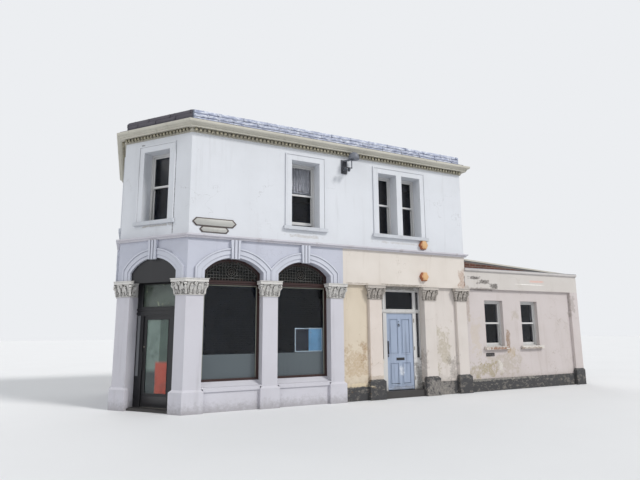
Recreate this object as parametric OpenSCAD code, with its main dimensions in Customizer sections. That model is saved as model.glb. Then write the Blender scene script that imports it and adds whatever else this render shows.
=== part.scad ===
/* [Plan] */
// Length of the side-street front
side_len = 8150; // [8000:10:8400]
// Width of the splayed corner front
corner_len = 2060; // [2000:10:2200]
// Length of the main-street front
main_len = 3990; // [3900:10:4200]
// Angle between the side-street front and the splayed corner
corner_turn = 50.7; // [45:0.1:55]
// Angle between the splayed corner and the main-street front
main_turn = 45.7; // [40:0.1:50]
// Thickness of the street walls
wall_t = 400; // [380:10:450]
// Thickness of the plain party walls and the end wall
party_t = 300; // [250:10:350]

/* [Heights] */
// Top of the piers, where the arcade wall starts
pier_top = 2960; // [2900:10:3000]
// Top of the ground storey's street walls and of the string course
string_top = 4000; // [3950:10:4050]
// Top of the upper walls, under the parapet
wall_top = 6740; // [6700:10:6800]
// Top of the lead-clad parapet
parapet_top = 7010; // [6960:10:7100]
// Top of the ground floor
floor_top = 50; // [40:5:60]
// Top of the first floor
upper_floor_top = 3900; // [3850:10:3950]

/* [Arcade] */
// Rise of the arches from springing to crown
arch_rise = 330; // [300:10:350]
// Height of the arch crowns
arch_crown = 3480; // [3450:10:3500]
// Width of the moulded band around an arch
archivolt_w = 230; // [200:10:240]
// Height of the tall plinths under piers and pilasters
plinth_h = 510; // [480:10:540]
// Height of the low plinths under the recessed walls
low_plinth_h = 350; // [320:10:380]
// Depth from the pier faces to the shop windows
shop_recess = 240; // [200:10:260]
// Depth from the pier faces to the recessed wall panels
panel_recess = 80; // [60:5:100]

/* [Doors] */
// Depth from the wall face to the corner door's frame
corner_door_recess = 280; // [260:10:290]
// Depth from the wall face to the side door's frame
side_door_recess = 230; // [200:10:250]
// Thickness of a door leaf
leaf_t = 44; // [40:1:50]
// Gap around a door leaf
leaf_gap = 6; // [5:0.5:8]

/* [Upper windows] */
// Depth from the wall face to the sashes of the side-street windows
sash_recess = 300; // [270:5:300]
// Depth from the wall face to the sashes of the corner window
corner_sash_recess = 250; // [230:5:300]
// Height of the upper window heads
head_z = 6115; // [6080:5:6130]
// Height of the upper window sills
sill_z = 4370; // [4350:5:4390]
// Width of the flat band around an upper window
architrave_w = 170; // [150:5:180]

/* [Annex] */
// Length of the low annex along the side street
annex_len = 4880; // [4700:10:5000]
// Depth of the annex
annex_depth = 4200; // [3800:50:4600]
// Height of the annex coping
annex_top = 3600; // [3550:10:3640]
// Fall of the annex roof along its length
annex_fall = 290; // [200:10:320]

/* [Hidden] */
$fn = 96;

// Colours
c_render = [0.86, 0.87, 0.89];
c_shade_render = [0.82, 0.82, 0.86];
c_cream = [0.84, 0.79, 0.68];
c_blush = [0.83, 0.78, 0.76];
c_plinth = [0.30, 0.30, 0.31];
c_stone = [0.78, 0.74, 0.64];
c_lead = [0.40, 0.45, 0.54];
c_timber = [0.20, 0.10, 0.08];
c_black = [0.07, 0.07, 0.08];
c_blue = [0.72, 0.80, 0.90];
c_glass = [0.20, 0.25, 0.30, 0.5];
c_brick = [0.45, 0.22, 0.14];
c_floor = [0.55, 0.52, 0.48];
c_alarm = [0.85, 0.62, 0.38];

// Street fronts, in order from the main street to the side street.
// Each is drawn in its own frame: x along the wall as seen from outside,
// y inwards from the wall face and z up.
MAIN = 0;
CORNER = 1;
SIDE = 2;
front_len = [main_len, corner_len, side_len];
heading = [-(corner_turn + main_turn), -corner_turn, 0];
lean = 90 - (corner_turn + main_turn);
tan_corner = tan(corner_turn / 2);
tan_main = tan(main_turn / 2);
tan_left = [tan(lean), tan_main, tan_corner];
tan_right = [tan_main, tan_corner, 0];

function dir(a) = [cos(a), sin(a)];
side_start = [0, 0];
corner_start = side_start - corner_len * dir(heading[CORNER]);
main_start = corner_start - main_len * dir(heading[MAIN]);
starts = [main_start, corner_start, side_start];

// Outer face of the party wall behind
back_y = main_start[1];
inner_back_y = back_y - party_t;
inner_end_x = side_len - party_t;
annex_end_x = side_len + annex_len;

// X of the main-street front's face, moved inwards by t, at depth y
function main_x(y, t) = main_start[0] - (back_y - y) * tan(-lean) + t / cos(lean);

// Openings along each front: start and end
side_bays = [[400, 1825], [2210, 3655]];
corner_bay = [400, 1760];
main_bays = [[main_len - 3655, main_len - 2210], [main_len - 1825, main_len - 400]];
side_door_bay = [5200, 6625];
arcade_end = 4025;
pilaster_4 = [4820, 5200];
pilaster_5 = [6625, 7000];
pilaster_6 = [7785, 8150];

// Upper window openings along each front
side_windows = [[2560, 3350], [5180, 5790], [5965, 6610]];
corner_window = [640, 1430];
main_windows = [[662, 1452], [2482, 3272]];

// Annex windows: start, end, sill and head
annex_windows_x = [[8930, 9670], [10440, 11170]];
annex_sill_z = 1270;
annex_head_z = 2640;
annex_meet = 1960;
annex_recess = 190;
annex_wall_y = panel_recess;
annex_frieze_z = 2970;
annex_pilaster_x = 12680;

// How far a cut runs past the faces it opens
over = 10;
// Thin joint left between pieces that meet at an angle
seam = 0.05;

// Position in plan of a point given in a front's own frame
function spot(i, x, y) = starts[i] + x * dir(heading[i]) + y * dir(heading[i] + 90);
// Corner at the right end of a front, moved inwards by y
function corner_point(i, y) = spot(i, front_len[i] - y * tan_right[i], y);
// Points at depth y from x0 on front i0 to x1 on front i1
function face_path(i0, x0, i1, x1, y) = concat([spot(i0, x0, y)], i0 == i1 ? [] : [corner_point(i0, y)], [spot(i1, x1, y)]);
// The same path along the face, with its ends turned inwards to two depths
function wrap_path(i0, x0, i1, x1, back0, back1) =
    concat([spot(i0, x0, back0)], face_path(i0, x0, i1, x1, 0), [spot(i1, x1, back1)]);
// Outline between an outer and an inner path
function plan_between(a, b) = concat(a, [for (k = [len(b) - 1 : -1 : 0]) b[k]]);

// Stands children on one of the street fronts
module on_front(i) {
    translate([starts[i][0], starts[i][1], 0]) rotate([0, 0, heading[i]]) children();
}

// A stretch of wall between two depths and two heights; an end left out is mitred
module stretch(i, y0, y1, z0, z1, x0 = undef, x1 = undef) {
    on_front(i) translate([0, 0, z0]) linear_extrude(z1 - z0) polygon([
        [is_undef(x0) ? y0 * tan_left[i] + seam : x0, y0],
        [is_undef(x1) ? front_len[i] - y0 * tan_right[i] - seam : x1, y0],
        [is_undef(x1) ? front_len[i] - y1 * tan_right[i] - seam : x1, y1],
        [is_undef(x0) ? y1 * tan_left[i] + seam : x0, y1]
    ]);
}

// Sweeps a profile along a plan path with mitred turns. The profile's points are
// [distance to the right of the path, height], and its first point is the inner top.
function unit(v) = v / norm(v);
function right_of(a, b) = [unit(b - a)[1], -unit(b - a)[0]];
function mitre(path, k, cut) =
    k == 0 ? (is_undef(cut) ? right_of(path[0], path[1]) : cut / (cut * right_of(path[0], path[1])))
    : k == len(path) - 1 ? right_of(path[k - 1], path[k])
    : let (a = right_of(path[k - 1], path[k]), b = right_of(path[k], path[k + 1])) (a + b) / (1 + a * b);
module swept(path, profile, first_cut = undef) {
    n = len(profile);
    m = len(path);
    points = [for (k = [0 : m - 1]) let (v = mitre(path, k, first_cut)) for (p = profile)
        [path[k][0] + v[0] * p[0], path[k][1] + v[1] * p[0], p[1]]];
    sides = [for (k = [0 : m - 2], j = [0 : n - 1]) let (a = k * n + j, b = k * n + (j + 1) % n)
        for (t = [[b + n, a + n, a], [b + n, a, b]]) t];
    caps = [[for (j = [0 : n - 1]) (n - j) % n], [for (j = [0 : n - 1]) (m - 1) * n + j]];
    polyhedron(points, concat(sides, caps));
}
// Direction in plan of the cut at the main-street front's far end
end_cut = [-1, 0];
// Trims children that run past that end
past_end = -300;
module trimmed_at_end() intersection() {
    children();
    translate([-side_len, -side_len, 0]) cube([2 * side_len, side_len + back_y, parapet_top]);
}

// A box given by its start and end on each axis, in a front's frame
module block(x, y, z) {
    translate([x[0], y[0], z[0]]) cube([x[1] - x[0], y[1] - y[0], z[1] - z[0]]);
}

// Arch outline over a bay, widened by off, from the pier tops up
function arch_radius(a) = (a * a + arch_rise * arch_rise) / (2 * arch_rise);
module arch_outline(bay, off, from_z = pier_top) {
    a = (bay[1] - bay[0]) / 2;
    r = arch_radius(a);
    translate([(bay[0] + bay[1]) / 2, 0]) {
        intersection() {
            translate([0, arch_crown - r]) circle(r = r + off, $fn = 288);
            translate([-a - off, max(from_z, pier_top)]) square([2 * (a + off), string_top - pier_top]);
        }
        if (from_z < pier_top) translate([-a - off, from_z]) square([2 * (a + off), pier_top - from_z]);
    }
}

// Extrudes an elevation drawn as [along the front, height] between two depths
module upright(y0, y1) {
    translate([0, y1, 0]) rotate([90, 0, 0]) linear_extrude(y1 - y0) children();
}

// Plinth with a chamfered top that also turns back into the openings beside it
plinth_out = 50;
chamfer_root = 20;
chamfer_inset = 2;
// Small shift of the chamfer at the arris, so that its edges cross the pier's own
chamfer_nudge = [0.6, -0.5, 0];
module plinth(i0, x0, i1, x1, h = plinth_h, nudge = [0, 0, 0]) {
    w0 = x0 - plinth_out;
    w1 = x1 + plinth_out;
    low = h - plinth_out;
    linear_extrude(low)
        polygon(plan_between(face_path(i0, w0, i1, w1, -plinth_out), face_path(i0, w0, i1, w1, panel_recess)));
    back = panel_recess - chamfer_inset;
    foot = plinth_out - chamfer_inset;
    translate(nudge) swept(wrap_path(i0, x0, i1, x1, back, back), [[-chamfer_root, low + foot + chamfer_root], [-chamfer_root, low], [foot, low]]);
}

// Piers of the arcade, each from one opening to the next
capital_z = 2580;
module pier(i0, x0, i1, x1, nudge = [0, 0, 0]) {
    linear_extrude(capital_z) polygon(plan_between(face_path(i0, x0, i1, x1, 0), face_path(i0, x0, i1, x1, wall_t)));
    plinth(i0, x0, i1, x1, nudge = nudge);
}
module corner_pier() color(c_shade_render) pier(CORNER, corner_bay[1], SIDE, side_bays[0][0], chamfer_nudge);
module arcade_piers() color(c_shade_render) {
    pier(SIDE, side_bays[0][1], SIDE, side_bays[1][0]);
    pier(SIDE, side_bays[1][1], SIDE, arcade_end);
    pier(MAIN, main_bays[0][1], MAIN, main_bays[1][0]);
    trimmed_at_end() pier(MAIN, past_end, MAIN, main_bays[0][0]);
}
module main_pier() color(c_shade_render) pier(MAIN, main_bays[1][1], CORNER, corner_bay[0]);

// Capitals: a flared bell under a square abacus
bell_out = 58;
bell_foot = 12;
bell_ring_h = 25;
bell_root = 30;
capital_out = 85;
capital_lip = 12;
capital_reach = capital_out + capital_lip;
capital_back = 200;
abacus_h = 80;
abacus_lip_h = 15;
bell_z = capital_z + bell_ring_h;
bell_h = pier_top - abacus_h - bell_z;
capital_top = pier_top - seam;
bell_profile = concat(
    [[-bell_root, capital_top], [-bell_root, capital_z + seam], [bell_foot, capital_z + seam]],
    [for (k = [0 : 8]) [bell_foot + bell_out * (1 - cos(k * 90 / 8)), bell_z + bell_h * sin(k * 90 / 8)]],
    [[capital_out, pier_top - abacus_h], [capital_out, pier_top - abacus_lip_h - 10],
     [capital_reach, pier_top - abacus_lip_h], [capital_reach, capital_top]]
);

// Carving on the bell: volutes with an eye on the outer corners, leaves under and
// between them, and a flower in the middle of each face
volute_z = 2840;
volute_r = 46;
volute_t = 56;
volute_at = 38;
eye_r = 17;
eye_t = 72;
flower_r = 34;
flower_bud_r = 15;
flower_y = [-84, -30];
flower_bud_y = -92;
// Distance of the leaves from a face's middle and, on a face that turns inwards, from its corner
leaf_step = 88;
leaf_return = 75;
long_return = 150;
carving_reach = 100;
carving_root = 20;
// Leaves as seen from the side, [depth, height], and from the front, [along, height]
leaf_side = [[4, 2652], [-24, 2652], [-30, 2715], [-42, 2765], [-66, 2792], [-74, 2810],
    [-60, 2826], [-46, 2818], [4, 2846]];
leaf_front = [[-14, 2640], [14, 2640], [33, 2720], [33, 2785], [20, 2860], [-20, 2860], [-33, 2785], [-33, 2720]];
corner_leaf_side = [[20, 2612], [-34, 2612], [-42, 2690], [-60, 2745], [-86, 2768], [-92, 2784],
    [-78, 2794], [-60, 2788], [20, 2812]];
corner_leaf_w = 52;
module side_prism(outline, w) {
    translate([-w / 2, 0, 0]) rotate([90, 0, 90]) linear_extrude(w) polygon(outline);
}
module carved_leaf() intersection() {
    side_prism(leaf_side, carving_reach);
    upright(-carving_reach, carving_root) polygon(leaf_front);
}
module carved_flower() {
    translate([0, flower_y[1], volute_z]) rotate([90, 0, 0]) cylinder(h = flower_y[1] - flower_y[0], r = flower_r);
    translate([0, flower_y[1], volute_z]) rotate([90, 0, 0]) cylinder(h = flower_y[1] - flower_bud_y, r = flower_bud_r);
}
// Stands children at a distance along the line from p to q, x along it and y inwards
module on_face(p, q, at) {
    u = unit(q - p);
    translate([p[0] + at * u[0], p[1] + at * u[1], 0]) rotate([0, 0, atan2(u[1], u[0])]) children();
}
// Volute and leaf on a corner, standing along the direction v that halves it
module corner_carving(p, v) {
    translate([p[0], p[1], 0]) rotate([0, 0, atan2(v[1], v[0]) + 90]) {
        translate([0, -volute_at * norm(v), volute_z]) rotate([0, 90, 0]) {
            cylinder(h = volute_t, r = volute_r, center = true);
            cylinder(h = eye_t, r = eye_r, center = true);
        }
        side_prism(corner_leaf_side, corner_leaf_w);
    }
}
module carving(path, first) {
    last = len(path) - 2;
    for (k = [first : last]) corner_carving(path[k], mitre(path, k));
    if (last > first) for (k = [first : last - 1]) {
        middle = norm(path[k + 1] - path[k]) / 2;
        on_face(path[k], path[k + 1], middle) carved_flower();
        for (x = [middle - leaf_step, middle + leaf_step]) on_face(path[k], path[k + 1], x) carved_leaf();
    }
    back0 = norm(path[1] - path[0]);
    if (first == 1 && back0 > long_return) on_face(path[0], path[1], back0 - leaf_return) carved_leaf();
    if (norm(path[last + 1] - path[last]) > long_return) on_face(path[last], path[last + 1], leaf_return) carved_leaf();
}
module capital(i0, x0, i1, x1, back0 = capital_back, back1 = capital_back, depth = wall_t, first = 1) {
    path = wrap_path(i0, x0, i1, x1, back0, back1);
    swept(path, bell_profile);
    carving(path, first);
    translate([0, 0, capital_z + seam]) linear_extrude(capital_top - capital_z - seam)
        polygon(plan_between(face_path(i0, x0, i1, x1, 0), face_path(i0, x0, i1, x1, depth)));
}
module capitals() color(c_stone) {
    capital(SIDE, side_bays[0][1], SIDE, side_bays[1][0]);
    capital(SIDE, side_bays[1][1], SIDE, arcade_end, back1 = panel_recess);
    capital(MAIN, main_bays[0][1], MAIN, main_bays[1][0]);
    trimmed_at_end() capital(MAIN, past_end, MAIN, main_bays[0][0], first = 2);
    capital(CORNER, corner_bay[1], SIDE, side_bays[0][0]);
    capital(MAIN, main_bays[1][1], CORNER, corner_bay[0]);
    for (p = [pilaster_4, pilaster_5, pilaster_6])
        capital(SIDE, p[0], SIDE, p[1], back0 = panel_recess, back1 = panel_recess, depth = panel_recess);
}

// Walls over the arches
module arched_wall(i, bays, x0 = undef, x1 = undef) {
    difference() {
        stretch(i, 0, wall_t, pier_top, string_top, x0, x1);
        on_front(i) for (b = bays) upright(-over, wall_t + over) arch_outline(b, 0, pier_top - over);
    }
}
module side_arcade() color(c_shade_render) arched_wall(SIDE, side_bays, x1 = arcade_end);
module corner_arcade() color(c_shade_render) arched_wall(CORNER, [corner_bay]);
module main_arcade() color(c_shade_render) arched_wall(MAIN, main_bays);

// Moulded bands around the arches: a flat band, a raised part on it and an outer rib
band_out = 22;
raised_out = 38;
raised_from = 75;
raised_inset = 3;
rib_out = 56;
rib_w = 45;
rib_inset = 8;
key_bottom = arch_crown - 40;
key_top = 3890;
key_out = 85;
key_w = [190, 240];
groove_w = 26;
groove_d = 18;
groove_x = 42;
module keystone_outline(bay) {
    c = (bay[0] + bay[1]) / 2;
    polygon([[c - key_w[0] / 2, key_bottom], [c + key_w[0] / 2, key_bottom],
             [c + key_w[1] / 2, key_top], [c - key_w[1] / 2, key_top]]);
}
module keystone(bay) difference() {
    c = (bay[0] + bay[1]) / 2;
    upright(-key_out, 0) keystone_outline(bay);
    for (x = [c - groove_x, c + groove_x])
        block([x - groove_w / 2, x + groove_w / 2], [-key_out - over, -key_out + groove_d],
            [key_bottom - over, key_top + over]);
}
module archivolt_layer(bay, lo, hi, w0, w1, y0, y1) {
    upright(y0, y1) intersection() {
        difference() {
            arch_outline(bay, w1);
            arch_outline(bay, w0, pier_top - over);
        }
        translate([lo, pier_top]) square([hi - lo, string_top - pier_top]);
    }
}
module archivolt(bay, lo, hi) {
    archivolt_layer(bay, lo, hi, 0, archivolt_w, -band_out, 0);
    archivolt_layer(bay, lo, hi, raised_from, archivolt_w - raised_inset, -raised_out, -band_out / 2);
    archivolt_layer(bay, lo, hi, archivolt_w - rib_w, archivolt_w - rib_inset, -rib_out, -band_out);
}
// A front's bands; neighbours stop on the pier's centre line
module arch_row(i, bays) {
    on_front(i) for (k = [0 : len(bays) - 1]) {
        lo = k == 0 ? -wall_t : (bays[k - 1][1] + bays[k][0]) / 2;
        hi = k == len(bays) - 1 ? front_len[i] + wall_t : (bays[k][1] + bays[k + 1][0]) / 2;
        archivolt(bays[k], lo, hi);
        keystone(bays[k]);
    }
}
module arch_mouldings() color(c_shade_render) {
    arch_row(SIDE, side_bays);
    arch_row(CORNER, [corner_bay]);
    arch_row(MAIN, main_bays);
}

// Low walls under the shop windows and the sloping sills on them
riser_face = panel_recess - plinth_out;
riser_top = 440;
sill_front = 530;
sill_rise = 20;
sill_back = 640;
module each_shop_bay() {
    // Runs children once in each shop bay's front, with $bay set
    for (b = side_bays) let ($bay = b) on_front(SIDE) children();
    for (b = main_bays) let ($bay = b) on_front(MAIN) children();
}
// Runs an outline given as [depth, height] along a bay, short of its ends by gap
module along_bay(gap) {
    translate([$bay[0] + gap + seam, 0, 0]) rotate([90, 0, 90]) linear_extrude($bay[1] - $bay[0] - 2 * (gap + seam)) children();
}
module stallrisers() color(c_render) each_shop_bay() {
    root = panel_recess + over;
    back = panel_recess + seam;
    along_bay(plinth_out) polygon([[riser_face, 0], [root, 0], [root, riser_top], [riser_face, riser_top]]);
    along_bay(plinth_out) polygon([[0, riser_top], [root, riser_top], [root, plinth_h], [0, plinth_h]]);
    along_bay(0) polygon([[0, plinth_h], [root, plinth_h], [root, sill_front + sill_rise], [0, sill_front]]);
    along_bay(0) polygon([[back, 0], [wall_t, 0], [wall_t, sill_back], [shop_recess, sill_back],
        [back, sill_front + sill_rise]]);
}

// Arched timber shop windows: a round-headed light over a transom and one wide pane
frame_d = 90;
shop_jamb = 60;
shop_rail = 55;
pane_t = 8;
transom_z = [2855, 2960];
// Front of the moulded transom, as [depth, height]
transom_front = [[shop_recess + over, 2860], [shop_recess - 18, 2860], [shop_recess - 18, 2896],
    [shop_recess - 34, 2908], [shop_recess - 34, 2940], [shop_recess - 22, 2952], [shop_recess + over, 2952]];
module shop_lights(bay) {
    arch_outline(bay, -shop_jamb, transom_z[1]);
    translate([bay[0] + shop_jamb, sill_back + shop_rail])
        square([bay[1] - bay[0] - 2 * shop_jamb, transom_z[0] - sill_back - shop_rail]);
}
module shop_window_frames() color(c_timber) each_shop_bay() {
    upright(shop_recess, shop_recess + frame_d) difference() {
        arch_outline($bay, -seam, sill_back);
        shop_lights($bay);
    }
    along_bay(0) polygon(transom_front);
}
module shop_panes() each_shop_bay() {
    y = shop_recess + frame_d / 2;
    upright(y, y + pane_t) shop_lights($bay);
}

// Corner door and the frame around it
corner_leaf = [600, 1440];
corner_leaf_z = [60, 2150];
corner_light = [1520, 1700];
corner_light_z = [400, 2150];
corner_fan = [540, 1700];
corner_fan_z = [2340, 2890];
frame_t = 70;
corner_y = [corner_door_recess, corner_door_recess + frame_t];
corner_bead_z = [2172, 2268];
corner_bead = [22, 50];
stop_t = 20;
stop_lap = 12;
// Rebated hole for a leaf that opens inwards
module leaf_hole(leaf, leaf_z, y, bottom) {
    block([leaf[0] - leaf_gap, leaf[1] + leaf_gap], [y[0] + stop_t, y[1] + over], [bottom, leaf_z[1] + leaf_gap]);
    block([leaf[0] + stop_lap, leaf[1] - stop_lap], [y[0] - over, y[1] + over], [bottom, leaf_z[1] - stop_lap]);
}
module corner_door_frame() color(c_black) on_front(CORNER) {
    difference() {
        upright(corner_y[0], corner_y[1]) arch_outline(corner_bay, -seam, floor_top);
        leaf_hole(corner_leaf, corner_leaf_z, corner_y, floor_top - over);
        block(corner_fan, [corner_y[0] - over, corner_y[1] + over], corner_fan_z);
        block(corner_light, [corner_y[0] - over, corner_y[1] + over], corner_light_z);
    }
    for (z = corner_bead_z)
        block([corner_bay[0] + seam, corner_bay[1] - seam], [corner_y[0] - corner_bead[0], corner_y[0] + over],
            [z, z + corner_bead[1]]);
}
module corner_frame_panes() on_front(CORNER) {
    y = corner_y[0] + frame_t / 2;
    block(corner_fan, [y, y + pane_t], corner_fan_z);
    block(corner_light, [y, y + pane_t], corner_light_z);
}
module shop_glass() color(c_glass) {
    shop_panes();
    corner_frame_panes();
}

// Bare board that fills the arch over the corner door, notched around the capitals
sign_y = [30, 60];
sign_bottom = 2900;
module corner_sign_board() color(c_black) on_front(CORNER) upright(sign_y[0], sign_y[1]) {
    arch_outline(corner_bay, 0);
    translate([corner_bay[0] + capital_reach + 3, sign_bottom])
        square([corner_bay[1] - corner_bay[0] - 2 * capital_reach - 6, pier_top - sign_bottom]);
}

// Glazed corner door with a pull handle on two stand-offs
corner_leaf_y = [corner_y[1] - leaf_t, corner_y[1]];
corner_stile = 90;
corner_glass_z = [360, 2060];
corner_pull_z = [900, 1300];
corner_pull_out = 45;
module corner_door() color(c_black) on_front(CORNER) {
    difference() {
        block(corner_leaf, corner_leaf_y, corner_leaf_z);
        block([corner_leaf[0] + corner_stile, corner_leaf[1] - corner_stile],
            [corner_leaf_y[0] - over, corner_leaf_y[1] + over], corner_glass_z);
    }
    translate([corner_leaf[0] + corner_stile / 2, corner_leaf_y[0] - corner_pull_out, 0]) {
        translate([0, 0, corner_pull_z[0]]) cylinder(h = corner_pull_z[1] - corner_pull_z[0], d = 20);
        for (z = [corner_pull_z[0] + 30, corner_pull_z[1] - 30])
            translate([0, 0, z]) rotate([-90, 0, 0]) cylinder(h = corner_pull_out, d = 14);
    }
}
module corner_door_glass() color(c_glass) on_front(CORNER)
    block([corner_leaf[0] + corner_stile, corner_leaf[1] - corner_stile],
        [corner_leaf_y[0] + 18, corner_leaf_y[0] + 18 + pane_t], corner_glass_z);

// Plain walls and pilasters beyond the arcade
module pilaster(p) {
    on_front(SIDE) block(p, [0, panel_recess], [0, capital_z]);
    plinth(SIDE, p[0], SIDE, p[1]);
}
low_plinth_out = 40;
module low_plinth(x0, x1) {
    on_front(SIDE) block([x0 + plinth_out, x1 - plinth_out], [panel_recess - low_plinth_out, panel_recess], [0, low_plinth_h]);
}
module side_wall_left() color(c_cream) {
    on_front(SIDE) block([arcade_end, side_door_bay[0]], [panel_recess, wall_t], [0, pier_top]);
    low_plinth(arcade_end, pilaster_4[0]);
    pilaster(pilaster_4);
}
module side_wall_right() color(c_blush) {
    on_front(SIDE) block([side_door_bay[1], side_len], [panel_recess, wall_t], [0, pier_top]);
    low_plinth(pilaster_5[1], pilaster_6[0]);
    pilaster(pilaster_5);
    pilaster(pilaster_6);
}
module side_frieze() color(c_cream) stretch(SIDE, 0, wall_t, pier_top, string_top, x0 = arcade_end);

// Steps in the two doorways
step_top = 170;
step_y = 35;
module step(bay, top) {
    block([bay[0] + seam, bay[1] - seam], [panel_recess, wall_t], [0, top]);
    block([bay[0] + plinth_out + seam, bay[1] - plinth_out - seam], [step_y, panel_recess], [0, top]);
}
module door_steps() color(c_plinth) {
    on_front(CORNER) step(corner_bay, floor_top);
    on_front(SIDE) step(side_door_bay, step_top);
}

// Side door and its frame: side lights over short panels, and a light over the door
side_leaf = [5480, 6380];
side_leaf_z = [step_top + 10, 2240];
side_lights = [[5245, 5375], [6475, 6585]];
side_light_z = [1010, 2240];
side_fan = [5460, 6390];
side_fan_z = [2330, 2830];
side_y = [side_door_recess, side_door_recess + frame_t];
side_leaf_y = [side_y[1] - leaf_t, side_y[1]];
module side_light_holes(y) {
    block(side_fan, y, side_fan_z);
    for (l = side_lights) {
        block(l, y, side_light_z);
        block(l, y, side_fan_z);
    }
}
module side_door_frame() color(c_render) on_front(SIDE) difference() {
    block(side_door_bay, side_y, [step_top, pier_top]);
    leaf_hole(side_leaf, side_leaf_z, side_y, step_top - over);
    side_light_holes([side_y[0] - over, side_y[1] + over]);
}
module side_frame_panes() on_front(SIDE) side_light_holes([side_y[0] + frame_t / 2, side_y[0] + frame_t / 2 + pane_t]);

// Panels of the side door: rows as [bottom, top], two to a row
panel_rows = [[320, 900], [1120, 2080]];
panel_sink = 12;
panel_margin = 38;
stile_w = 110;
module side_door() color(c_blue) on_front(SIDE) difference() {
    block(side_leaf, side_leaf_y, side_leaf_z);
    panel_w = (side_leaf[1] - side_leaf[0] - 3 * stile_w) / 2;
    for (r = panel_rows, k = [0, 1]) {
        x0 = side_leaf[0] + stile_w + k * (panel_w + stile_w);
        field = [[x0 + panel_margin, x0 + panel_w - panel_margin], [r[0] + panel_margin, r[1] - panel_margin]];
        framed([x0, x0 + panel_w], [side_leaf_y[0] - over, side_leaf_y[0] + panel_sink], r, field);
        framed([x0, x0 + panel_w], [side_leaf_y[1] - panel_sink, side_leaf_y[1] + over], r, field);
    }
}

// Letter plate, and a pull bar on the lock stile with its two feet
letter_plate = [[5800, 6060], [960, 1030]];
pull_x = [5520, 5545];
pull_z = [1130, 1480];
pull_out = [30, 12];
module side_door_furniture() color(c_black) on_front(SIDE) {
    face = side_leaf_y[0];
    block(letter_plate[0], [face - 6, face], letter_plate[1]);
    block(pull_x, [face - pull_out[0], face - pull_out[1]], pull_z);
    for (z = [pull_z[0] + 30, pull_z[1] - 50]) block([pull_x[0] + 5, pull_x[1] - 5], [face - pull_out[1], face], [z, z + 20]);
}

// String course, returned round the end wall
string_h = 105;
string_return = 150;
string_z = string_top - string_h;
string_profile = [[seam, string_top], [seam, string_z], [55, string_z], [60, string_z + 30], [85, string_z + 45],
    [100, string_z + 50], [100, string_top - 20]];
function street_path(turn) = [main_start, corner_start, side_start, [side_len, 0], [side_len, turn]];
module string_course() color(c_render) swept(street_path(string_return), string_profile, first_cut = end_cut);

// Upper walls with their window openings
sill_h = 90;
module window_hole(w) block(w, [-over, wall_t + over], [sill_z - sill_h, head_z]);
module upper_side_wall() color(c_render) difference() {
    stretch(SIDE, 0, wall_t, string_top, wall_top);
    on_front(SIDE) for (w = side_windows) window_hole(w);
}
module upper_corner_wall() color(c_render) difference() {
    stretch(CORNER, 0, wall_t, string_top, wall_top);
    on_front(CORNER) window_hole(corner_window);
}
module upper_main_wall() color(c_render) difference() {
    stretch(MAIN, 0, wall_t, string_top, wall_top - seam);
    on_front(MAIN) for (w = main_windows) window_hole(w);
}

// Flat bands around the upper windows, with a raised outer edge
architrave_out = 22;
architrave_edge = 30;
architrave_edge_out = 36;
module architrave_ring(ws) {
    // One band around a window or a close pair
    x0 = ws[0][0] - architrave_w;
    x1 = ws[len(ws) - 1][1] + architrave_w;
    difference() {
        union() {
            block([x0, x1], [-architrave_out, 0], [sill_z, head_z + architrave_w]);
            difference() {
                block([x0, x1], [-architrave_edge_out, 0], [sill_z, head_z + architrave_w]);
                block([x0 + architrave_edge, x1 - architrave_edge], [-architrave_edge_out - over, over],
                    [sill_z - over, head_z + architrave_w - architrave_edge]);
            }
        }
        for (w = ws) block(w, [-architrave_edge_out - over, over], [sill_z - over, head_z]);
    }
}
module architraves() color(c_render) {
    on_front(SIDE) architrave_ring([side_windows[0]]);
    on_front(SIDE) architrave_ring([side_windows[1], side_windows[2]]);
    on_front(CORNER) architrave_ring([corner_window]);
    for (w = main_windows) on_front(MAIN) architrave_ring([w]);
}

// Stone sills: a lug sill on the face and a slab in each opening
sill_out = 75;
sill_lug = 45;
module sill(ws) {
    x0 = ws[0][0] - architrave_w - sill_lug;
    x1 = ws[len(ws) - 1][1] + architrave_w + sill_lug;
    block([x0, x1], [-sill_out, 0], [sill_z - sill_h, sill_z]);
    for (w = ws) block(w, [-sill_out, wall_t], [sill_z - sill_h, sill_z]);
}
module upper_sills() {
    on_front(SIDE) sill([side_windows[0]]);
    on_front(SIDE) sill([side_windows[1], side_windows[2]]);
    on_front(CORNER) sill([corner_window]);
    for (w = main_windows) on_front(MAIN) sill([w]);
}

// Sliding sash windows, drawn for an opening given as [start, end] and [sill, head];
// the upper sash is outside and raise lifts the lower one
box_w = 45;
box_d = 95;
box_sill = 30;
sash_w = 45;
sash_t = 35;
sash_y = 15;
bottom_rail = 75;
thin_pane = 5;
window_raise = 90;
function upper_light(w, z, meet) = [[w[0] + box_w + sash_w, w[1] - box_w - sash_w], [meet + sash_w / 2, z[1] - box_w - sash_w]];
function lower_light(w, z, meet, raise) = [[w[0] + box_w + sash_w, w[1] - box_w - sash_w],
    [z[0] + box_sill + bottom_rail + raise, meet - sash_w / 2 + raise]];
module framed(x, y, z, hole) difference() {
    block(x, y, z);
    block(hole[0], [y[0] - over, y[1] + over], hole[1]);
}
module sash_window(w, z, meet, y, raise = 0) {
    i = [w[0] + box_w, w[1] - box_w];
    y1 = y + sash_y;
    framed(w, [y, y + box_d], z, [i, [z[0] + box_sill, z[1] - box_w]]);
    framed(i, [y1, y1 + sash_t], [meet - sash_w / 2, z[1] - box_w], upper_light(w, z, meet));
    framed(i, [y1 + sash_t, y1 + 2 * sash_t], [z[0] + box_sill + raise, meet + sash_w / 2 + raise],
        lower_light(w, z, meet, raise));
}
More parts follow.
